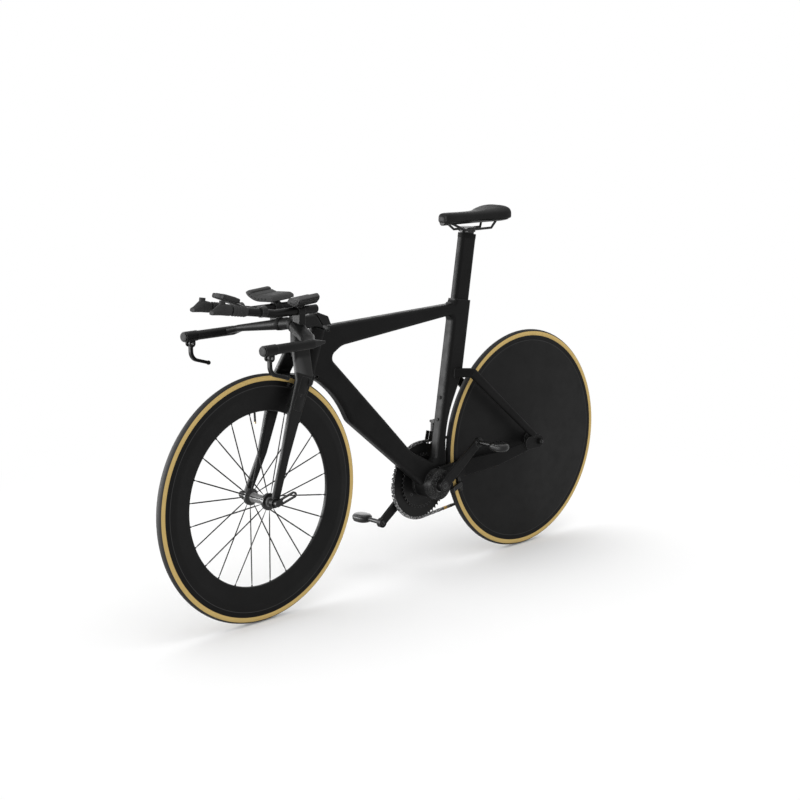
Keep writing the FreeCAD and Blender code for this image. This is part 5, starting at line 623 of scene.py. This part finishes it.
def slab(top, bottom):
    """Vertices and faces of a closed slab between two grids of points."""
    rows = len(top)
    columns = len(top[0])
    vertices = [place for grid in (top, bottom) for row in grid for place in row]
    under = rows * columns
    faces = []
    for row in range(rows - 1):
        for column in range(columns - 1):
            corner = row * columns + column
            quad = (corner, corner + 1, corner + columns + 1, corner + columns)
            faces.append(quad)
            faces.append(tuple(under + spot for spot in reversed(quad)))
    rim = list(range(columns))
    rim += [row * columns + columns - 1 for row in range(1, rows)]
    rim += [(rows - 1) * columns + column for column in range(columns - 2, -1, -1)]
    rim += [row * columns for row in range(rows - 2, 0, -1)]
    for first, second in zip(rim, rim[1:] + rim[:1]):
        faces.append((second, first, under + first, under + second))
    return vertices, faces


def joined(meshes):
    """Several meshes as one."""
    vertices = []
    faces = []
    for places, loops in meshes:
        start = len(vertices)
        vertices += places
        faces += [tuple(start + spot for spot in loop) for loop in loops]
    return vertices, faces


def mirrored(mesh):
    """A mesh on the other side of the part's middle plane."""
    places, loops = mesh
    vertices = [Vector((place.x, -place.y, place.z)) for place in places]
    faces = [tuple(reversed(loop)) for loop in loops]
    return vertices, faces


def both(mesh):
    """A mesh with its mirrored twin."""
    return joined([mesh, mirrored(mesh)])


def add_piece(name, mesh, finish, body, sharp=SHARP_ANGLE):
    """Put a mesh in the scene as a piece of a body, smooth up to a sharp angle."""
    data = bpy.data.meshes.new(name)
    data.from_pydata([tuple(place) for place in mesh[0]], [], mesh[1])
    work = bmesh.new()
    work.from_mesh(data)
    bmesh.ops.recalc_face_normals(work, faces=work.faces)
    work.to_mesh(data)
    work.free()
    data.shade_smooth()
    data.set_sharp_from_angle(angle=sharp)
    data.materials.append(finish)
    made = bpy.data.objects.new(name, data)
    bpy.context.scene.collection.objects.link(made)
    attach(made, body)
    return made


def circle(centre, first, second, reach, count=RING_POINTS):
    """Ring of points about a centre; the reach is a radius or a function of the angle."""
    places = []
    for step in range(count):
        angle = 2 * math.pi * step / count
        radius = reach(angle) if callable(reach) else reach
        places.append(centre + first * (radius * math.cos(angle)) + second * (radius * math.sin(angle)))
    return places


def stadium(centre, long_way, wide_way, length, width, count=RING_POINTS):
    """Ring of two half circles joined by straight sides."""
    places = []
    for step in range(count):
        angle = 2 * math.pi * (step + 0.5) / count
        shift = math.copysign((length - width) / 2, math.cos(angle))
        places.append(centre + long_way * (shift + width / 2 * math.cos(angle))
                      + wide_way * (width / 2 * math.sin(angle)))
    return places


def rounded_reach(length, width, power):
    """Reach at an angle of a box with soft corners; a higher power makes them tighter."""
    def reach(angle):
        first = abs(math.cos(angle)) * 2 / length
        second = abs(math.sin(angle)) * 2 / width
        return (first ** power + second ** power) ** (-1 / power)
    return reach


def turned(start, way, profile, count=RING_POINTS):
    """Body of revolution from (along, radius) pairs about an axis."""
    first = way.orthogonal().normalized()
    second = way.cross(first)
    return skin([circle(start + way * along, first, second, radius, count) for along, radius in profile])


def bolt_head(start, way, radius, lift):
    """Round-edged head with a sunk hexagonal socket."""
    first = way.orthogonal().normalized()
    second = way.cross(first)

    def hexagon(angle):
        turn = (angle + math.pi / 6) % (math.pi / 3) - math.pi / 6
        return radius * 0.5 / math.cos(turn)

    floor = lift * 0.2
    rows = [(-lift * 0.3, radius), (lift * 0.6, radius), (lift * 0.9, radius * 0.93), (lift, radius * 0.82),
            (lift, hexagon), (floor, hexagon), (floor, radius * 0.05)]
    return skin([circle(start + way * along, first, second, reach, BOLT_POINTS) for along, reach in rows])


def blend_along(stations, values, place):
    """Smooth curve through values given at stations."""
    last = len(stations) - 1
    slopes = []
    for index in range(len(stations)):
        low = max(index - 1, 0)
        high = min(index + 1, last)
        slopes.append((values[high] - values[low]) / (stations[high] - stations[low]))
    spot = 0
    while spot < last - 1 and place > stations[spot + 1]:
        spot += 1
    span = stations[spot + 1] - stations[spot]
    t = (place - stations[spot]) / span
    start = values[spot] * (1 + 2 * t) * (1 - t) ** 2 + slopes[spot] * span * t * (1 - t) ** 2
    end = values[spot + 1] * t * t * (3 - 2 * t) + slopes[spot + 1] * span * t * t * (t - 1)
    return start + end


# Soft pieces

def pad_end(across):
    """Share of a pad's length left at a share across it, less where its outer corners are rounded."""
    fall = max(across - PAD_CORNER_START_SHARE, 0) / (1 - PAD_CORNER_START_SHARE)
    return 1 - PAD_CORNER_SHARE * (1 - math.sqrt(1 - fall * fall))


def pad_place(across, along, lift):
    """Point of an arm pad at a share across, a share along and a height above its underside."""
    run = across * PAD_WIDTH
    if run < PAD_FLAT:
        y = PAD_MIDDLE.y - PAD_FLAT + run
        z = PAD_MIDDLE.z - PAD_CURVE + lift
    else:
        angle = (run - PAD_FLAT) / PAD_BEND
        y = PAD_MIDDLE.y + (PAD_CURVE - lift) * math.sin(angle)
        z = PAD_MIDDLE.z - (PAD_CURVE - lift) * math.cos(angle)
    x = PAD_MIDDLE.x + PAD_HALF_LENGTH * along * pad_end(across) + (y - PAD_MIDDLE.y) * PAD_SKEW
    pivot = Vector((PAD_MIDDLE.x, y, PAD_MIDDLE.z - PAD_CURVE))
    return pivot + Matrix.Rotation(PAD_PITCH, 3, "Y") @ (Vector((x, y, z)) - pivot)


def pad_lift(across, along):
    """Thickness of an arm pad, rounded towards its rim and sunk along its channels."""
    inset = min(across, 1 - across) * PAD_WIDTH
    end_inset = (1 - abs(along)) * PAD_HALF_LENGTH
    swell = 1.0
    for depth in (inset, end_inset):
        fall = 1 - min(depth / PAD_ROUNDING, 1)
        swell *= math.sqrt(1 - fall * fall)
    lift = PAD_THICKNESS * (PAD_RIM_SHARE + (1 - PAD_RIM_SHARE) * swell)
    for share, depth in PAD_CHANNELS:
        centre = PAD_FLAT + share * PAD_BEND * PAD_OUTER_ANGLE
        away = (across * PAD_WIDTH - centre) / PAD_CHANNEL_WIDTH
        lift -= depth * swell * math.exp(-away * away)
    return lift


def arm_pad():
    """Cushion of the left arm pad, with its points closer together near the rim."""
    top = []
    bottom = []
    for column in range(PAD_ALONG + 1):
        along = math.sin(math.pi / 2 * (2 * column / PAD_ALONG - 1))
        shares = [(1 - math.cos(math.pi * row / PAD_ACROSS)) / 2 for row in range(PAD_ACROSS + 1)]
        top.append([pad_place(share, along, pad_lift(share, along)) for share in shares])
        bottom.append([pad_place(share, along, 0) for share in shares])
    return slab(top, bottom)


def pad_eyelets():
    """Small rimmed holes along the front edge of an arm pad."""
    shoulder = EYELET_LIFT * 0.6
    floor = -EYELET_SEAT * 0.75
    rows = [(-EYELET_SEAT, 1.0), (shoulder, 1.0), (EYELET_LIFT, 0.85), (shoulder, 0.65),
            (floor, 0.6), (floor, 0.05)]
    profile = [(along, EYELET_RADIUS * reach) for along, reach in rows]
    eyelets = []
    for share in EYELET_SHARES:
        place = pad_place(share, 1, PAD_THICKNESS * PAD_RIM_SHARE * EYELET_RIM_SHARE)
        eyelets.append(turned(place, AHEAD, profile, EYELET_POINTS))
    return joined(eyelets)


def saddle_ring(share, spread, shift):
    """Section of the saddle at a share of its length, drawn in by a spread and moved along."""
    half = SADDLE_HALF_WIDTH * blend_along(SADDLE_STATION_SHARES, SADDLE_WIDTH_SHARES, share)
    crown = SADDLE_CROWN * blend_along(SADDLE_STATION_SHARES, SADDLE_CROWN_SHARES, share)
    side = crown * SADDLE_SIDE_SHARE
    x = SADDLE_NOSE - SADDLE_LENGTH * share + shift
    ring = []
    for step in range(SADDLE_POINTS):
        angle = 2 * math.pi * step / SADDLE_POINTS
        upper = math.sin(angle) >= 0
        power = 2 / (SADDLE_TOP_POWER if upper else SADDLE_FLOOR_POWER)
        reach = crown - side if upper else side
        y = half * spread * math.copysign(abs(math.cos(angle)) ** power, math.cos(angle))
        z = side + reach * spread * math.copysign(abs(math.sin(angle)) ** power, math.sin(angle))
        ring.append(Vector((x, y, SADDLE_FLOOR + z)))
    return ring


def saddle_cover():
    """Cover of the saddle from nose to tail, with bulged ends."""
    rings = []
    for spread, along in SADDLE_BULGE_SHARES:
        rings.append(saddle_ring(0, spread, SADDLE_END_BULGE * along))
    for step in range(SADDLE_RINGS + 1):
        share = (1 - math.cos(math.pi * step / SADDLE_RINGS)) / 2
        rings.append(saddle_ring(share, 1, 0))
    for spread, along in reversed(SADDLE_BULGE_SHARES):
        rings.append(saddle_ring(1, spread, -SADDLE_END_BULGE * along))
    return skin(rings)


pads = add_piece("arm_pad_cushions", both(arm_pad()), FOAM, "steering", PAD_SHARP_ANGLE)
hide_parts("arm_pads")
add_piece("arm_pad_eyelets", both(pad_eyelets()), GRIP_RUBBER, "steering")
cover = add_piece("saddle_cover", saddle_cover(), LEATHER, "saddle", SADDLE_SHARP_ANGLE)
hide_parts("saddle_pad")


# Cockpit fittings

def housing_neck():
    """Waisted ring between a lever housing and its cap."""
    rows = [(HOUSING_GAP, HOUSING_NECK_RADIUS), (HOUSING_NECK * 0.5, HOUSING_NECK_RADIUS * 0.9),
            (HOUSING_NECK, HOUSING_NECK_RADIUS)]
    return turned(HOUSING_FACE, AHEAD, rows)


def housing_cap():
    """Domed cap on the front of a lever housing."""
    start = HOUSING_FACE + AHEAD * HOUSING_NECK
    rows = [(HOUSING_CAP * along, HOUSING_CAP_RADIUS * reach) for along, reach in HOUSING_CAP_SHARES]
    return turned(start, AHEAD, rows)


def lever_bolts():
    """Bolt heads on both ends of a lever's pin."""
    heads = []
    for way in (SIDEWAYS, -SIDEWAYS):
        heads.append(bolt_head(LEVER_PIN + way * LEVER_EAR_HALF, way, LEVER_BOLT_RADIUS, LEVER_BOLT_LIFT))
    return joined(heads)


def bar_ring(y, wall):
    """Section of the base bar at a distance from the middle, widened by a wall."""
    share = y / BAR_TIP.y
    centre = BAR_MIDDLE.lerp(BAR_TIP, share)
    chord = BAR_CHORDS[0] + (BAR_CHORDS[1] - BAR_CHORDS[0]) * share
    depth = BAR_DEPTHS[0] + (BAR_DEPTHS[1] - BAR_DEPTHS[0]) * share
    return stadium(centre, AHEAD, UP, chord + 2 * wall, depth + 2 * wall)


def bar_band():
    """Rubber band around the base bar, beside the stem."""
    span = BAND_END - BAND_START
    rings = [bar_ring(BAND_START + span * along, BAND_WALL * wall) for along, wall in BAND_SHARES]
    return skin(rings, hollow=True)


def computer_axes():
    """Directions along the computer and out of its face."""
    along = Vector((math.cos(COMPUTER_TILT), 0, math.sin(COMPUTER_TILT)))
    return along, along.cross(SIDEWAYS)


def computer_screen():
    """Glass on the computer's face, with a raised rim."""
    along, outward = computer_axes()
    centre = COMPUTER_MIDDLE + outward * (COMPUTER_CASE_DEPTH / 2)
    rings = []
    for lift, share in SCREEN_SHARES:
        reach = rounded_reach(SCREEN_LENGTH * share, SCREEN_WIDTH * share, SCREEN_POWER)
        rings.append(circle(centre + outward * (SCREEN_LIFT * lift), along, SIDEWAYS, reach, FINE_POINTS))
    return skin(rings)


def computer_case():
    """Soft-cornered case around the computer, in rings from its underside to its top."""
    along, outward = computer_axes()
    rings = []
    for lift, share in COMPUTER_SHARES:
        reach = rounded_reach(COMPUTER_LENGTH * share, COMPUTER_WIDTH * share, COMPUTER_POWER)
        centre = COMPUTER_MIDDLE + outward * (COMPUTER_CASE_DEPTH / 2 * lift)
        rings.append(circle(centre, along, SIDEWAYS, reach, FINE_POINTS))
    return skin(rings)


def stem_bolts():
    """Bolt heads on the top of the stem."""
    heads = [bolt_head(Vector((x, y, STEM_TOP)), UP, BOLT_RADIUS, BOLT_LIFT) for x, y in STEM_BOLTS]
    return joined(heads)


add_piece("lever_housing_necks", both(housing_neck()), GRIP_RUBBER, "steering")
add_piece("lever_housing_caps", both(housing_cap()), CAP_METAL, "steering")
add_piece("lever_pivot_bolts", both(lever_bolts()), STEEL, "steering")
add_piece("bar_bands", both(bar_band()), GRIP_RUBBER, "steering")
add_piece("computer_screen", computer_screen(), SCREEN, "steering")
add_piece("stem_bolts", stem_bolts(), METAL, "steering")
add_piece("computer_case", computer_case(), RUBBER, "steering")


# Front wheel

def spoke_blades():
    """Flat blades around the thin spokes, from the flanges of the hub to the rim."""
    blades = []
    for index in range(SPOKES):
        angle = 2 * math.pi * (index + 0.5) / SPOKES
        way = AHEAD * math.cos(angle) + UP * math.sin(angle)
        flange = SIDEWAYS * (HUB_FLANGE_SPREAD if index % 2 else -HUB_FLANGE_SPREAD)
        start = FRONT_AXLE + way * SPOKE_START_RADIUS + flange
        end = FRONT_AXLE + way * SPOKE_END_RADIUS
        across = (end - start).cross(SIDEWAYS).normalized()
        flat = (end - start).cross(across).normalized()
        rings = []
        for share, swell in SPOKE_SHARES:
            wide = across * (SPOKE_WIDTH / 2 * swell)
            deep = flat * (SPOKE_DEPTH / 2)
            rings.append(circle(start.lerp(end, share), wide, deep, 1, SPOKE_POINTS))
        blades.append(skin(rings))
    return joined(blades)


add_piece("spoke_blades", spoke_blades(), METAL, "front_wheel")


# Seat post, cranks, pedals and fork covers

def post_cap():
    """Thin cap over the top of the seat post, open below."""
    rings = []
    for share, wall in POST_CAP_SHARES:
        along = POST_END + share * (POST_CAP_RISE if share > 0 else POST_CAP_DEPTH)
        centre = CRANK_AXLE + SEAT_WAY * along - SEAT_AHEAD * POST_SETBACK
        spare = 2 * POST_CAP_WALL * wall
        rings.append(stadium(centre, SEAT_AHEAD, SIDEWAYS, POST_CHORD + spare, POST_WIDTH + spare))
    return skin(rings, hollow=True)


def seat_plug():
    """Small wedge on the top tube at the foot of the seat post."""
    rings = []
    for lift, share in PLUG_SHARES:
        centre = PLUG_PLACE + AHEAD * (PLUG_LENGTH / 2) + UP * (PLUG_LIFT * lift)
        rings.append(stadium(centre, AHEAD, SIDEWAYS, PLUG_LENGTH * share, PLUG_WIDTH * share))
    return skin(rings)


def crank_cap():
    """Round cap with a socket on a crank's boss."""
    start = Vector((CRANK_AXLE.x, CRANK_BOSS_FACE, CRANK_AXLE.z))
    return bolt_head(start, SIDEWAYS, CRANK_CAP_RADIUS, CRANK_CAP_LIFT)


def pedal_shell(node):
    """Domed cover on the upper and lower face of a pedal body."""
    low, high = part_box(node)
    centre = (Vector(low) + Vector(high)) / 2
    half = (Vector(high) - Vector(low)) / 2
    outer = math.copysign(abs(centre.y) + half.y - PEDAL_LENGTH / 2, centre.y)
    middle = Vector((centre.x, outer, centre.z))
    shells = []
    for side in (1, -1):
        rings = []
        for lift, share in PEDAL_SHARES:
            place = middle + UP * (side * (half.z + PEDAL_DOME * lift))
            rings.append(stadium(place, SIDEWAYS, AHEAD, PEDAL_LENGTH * share, half.x * 2 * share))
        shells.append(skin(rings))
    return joined(shells)


def leg_cover(start, end):
    """Thin panel on the outer face of a fork leg between two shares of its height."""
    leg = LEG_COVER_FOOT - LEG_COVER_TOP
    along = leg.normalized()
    across = leg.cross(SIDEWAYS).normalized()
    middle = LEG_COVER_TOP + leg * ((start + end) / 2)
    length = leg.length * (end - start)
    rings = []
    for lift, share in LEG_COVER_SHARES:
        reach = rounded_reach(length * share, LEG_COVER_WIDTH * share, LEG_COVER_POWER)
        centre = middle + SIDEWAYS * (LEG_COVER_LIFT * lift)
        rings.append(circle(centre, along, across, reach, FINE_POINTS))
    return skin(rings)


def leg_covers():
    """The panels of a fork leg and the bolt between them."""
    panels = [leg_cover(start, end) for start, end in LEG_COVER_SPANS]
    bolt_place = LEG_COVER_TOP.lerp(LEG_COVER_FOOT, LEG_COVER_SPANS[1][0])
    return joined(panels + [bolt_head(bolt_place, SIDEWAYS, BOLT_RADIUS, BOLT_LIFT)])


add_piece("seat_post_cap", post_cap(), GRIP_RUBBER, "seat_post")
add_piece("seat_post_plug", seat_plug(), CAP_METAL, "frame")
add_piece("crank_caps", both(crank_cap()), METAL, "cranks")
for side in ("left", "right"):
    pedal = "pedal_" + side
    add_piece("pedal_shell_" + side, pedal_shell(pedal), PEDAL_GLOSS, pedal)
add_piece("fork_leg_covers", both(leg_covers()), FORK_CARBON, "steering")


# Stage

def white_rays(tree):
    """One on rays from the camera, from gloss and through glass, zero on those that light surfaces."""
    rays = tree.nodes.new("ShaderNodeLightPath")
    seen = rays.outputs["Is Camera Ray"]
    for kind in ("Is Glossy Ray", "Is Transmission Ray"):
        either = tree.nodes.new("ShaderNodeMath")
        either.operation = "MAXIMUM"
        tree.links.new(seen, either.inputs[0])
        tree.links.new(rays.outputs[kind], either.inputs[1])
        seen = either.outputs[0]
    return seen


def glow_share(tree):
    """Share of plain white on the floor: low under the part, full far away from it."""
    place = tree.nodes.new("ShaderNodeTexCoord").outputs["Object"]
    length = tree.nodes.new("ShaderNodeVectorMath")
    length.operation = "LENGTH"
    tree.links.new(place, length.inputs[0])
    fade = tree.nodes.new("ShaderNodeMapRange")
    fade.interpolation_type = "SMOOTHSTEP"
    fade.inputs["From Min"].default_value = FLOOR_NEAR
    fade.inputs["From Max"].default_value = FLOOR_FAR
    fade.inputs["To Min"].default_value = FLOOR_GLOW
    fade.inputs["To Max"].default_value = 1.0
    tree.links.new(length.outputs["Value"], fade.inputs["Value"])
    share = tree.nodes.new("ShaderNodeMath")
    share.operation = "MULTIPLY"
    tree.links.new(white_rays(tree), share.inputs[0])
    tree.links.new(fade.outputs["Result"], share.inputs[1])
    return share.outputs[0]


def floor_paint():
    """Pale floor that turns to plain white away from the part."""
    paint = bpy.data.materials.new("floor_paint")
    paint.use_nodes = True
    tree = paint.node_tree
    tree.nodes.clear()
    diffuse = tree.nodes.new("ShaderNodeBsdfDiffuse")
    diffuse.inputs["Color"].default_value = gray(FLOOR_COLOUR)
    glow = tree.nodes.new("ShaderNodeEmission")
    blend = tree.nodes.new("ShaderNodeMixShader")
    tree.links.new(glow_share(tree), blend.inputs[0])
    tree.links.new(diffuse.outputs[0], blend.inputs[1])
    tree.links.new(glow.outputs[0], blend.inputs[2])
    output = tree.nodes.new("ShaderNodeOutputMaterial")
    tree.links.new(blend.outputs[0], output.inputs["Surface"])
    return paint


def build_floor():
    mesh = bpy.data.meshes.new("floor")
    sides = ((-1, -1), (1, -1), (1, 1), (-1, 1))
    corners = [(x * FLOOR_HALF, y * FLOOR_HALF, -FLOOR_DROP) for x, y in sides]
    mesh.from_pydata(corners, [], [(0, 1, 2, 3)])
    floor = bpy.data.objects.new("floor", mesh)
    bpy.context.scene.collection.objects.link(floor)
    mesh.materials.append(floor_paint())


def build_world():
    world = bpy.data.worlds.new("studio")
    world.use_nodes = True
    sky = world.node_tree.nodes["Background"]
    sky.inputs["Color"].default_value = gray(1.0)
    sky.inputs["Strength"].default_value = SKY_LIGHT
    bpy.context.scene.world = world


def build_lamp(name, place, width, height, power, lights_colour):
    """Flat lamp; one that doesn't light colour only shows in the gloss of the surfaces."""
    data = bpy.data.lights.new(name, "AREA")
    data.shape = "RECTANGLE"
    data.size = width
    data.size_y = height
    data.energy = power
    lamp = bpy.data.objects.new(name, data)
    bpy.context.scene.collection.objects.link(lamp)
    lamp.location = place
    lamp.rotation_mode = "QUATERNION"
    lamp.rotation_quaternion = (LAMP_TARGET - place).to_track_quat("-Z", "Y")
    lamp.visible_diffuse = lights_colour
    lamp.visible_camera = False


def build_camera():
    data = bpy.data.cameras.new("camera")
    data.lens = CAMERA_LENS
    data.sensor_width = CAMERA_SENSOR
    data.clip_end = CAMERA_REACH
    camera = bpy.data.objects.new("camera", data)
    bpy.context.scene.collection.objects.link(camera)
    camera.location = CAMERA_PLACE
    camera.rotation_mode = "QUATERNION"
    camera.rotation_quaternion = (CAMERA_TARGET - CAMERA_PLACE).to_track_quat("-Z", "Y")
    bpy.context.scene.camera = camera


build_floor()
build_world()
for name, settings in LAMPS.items():
    build_lamp(name, *settings)
build_camera()
bpy.context.scene.view_settings.view_transform = "Standard"
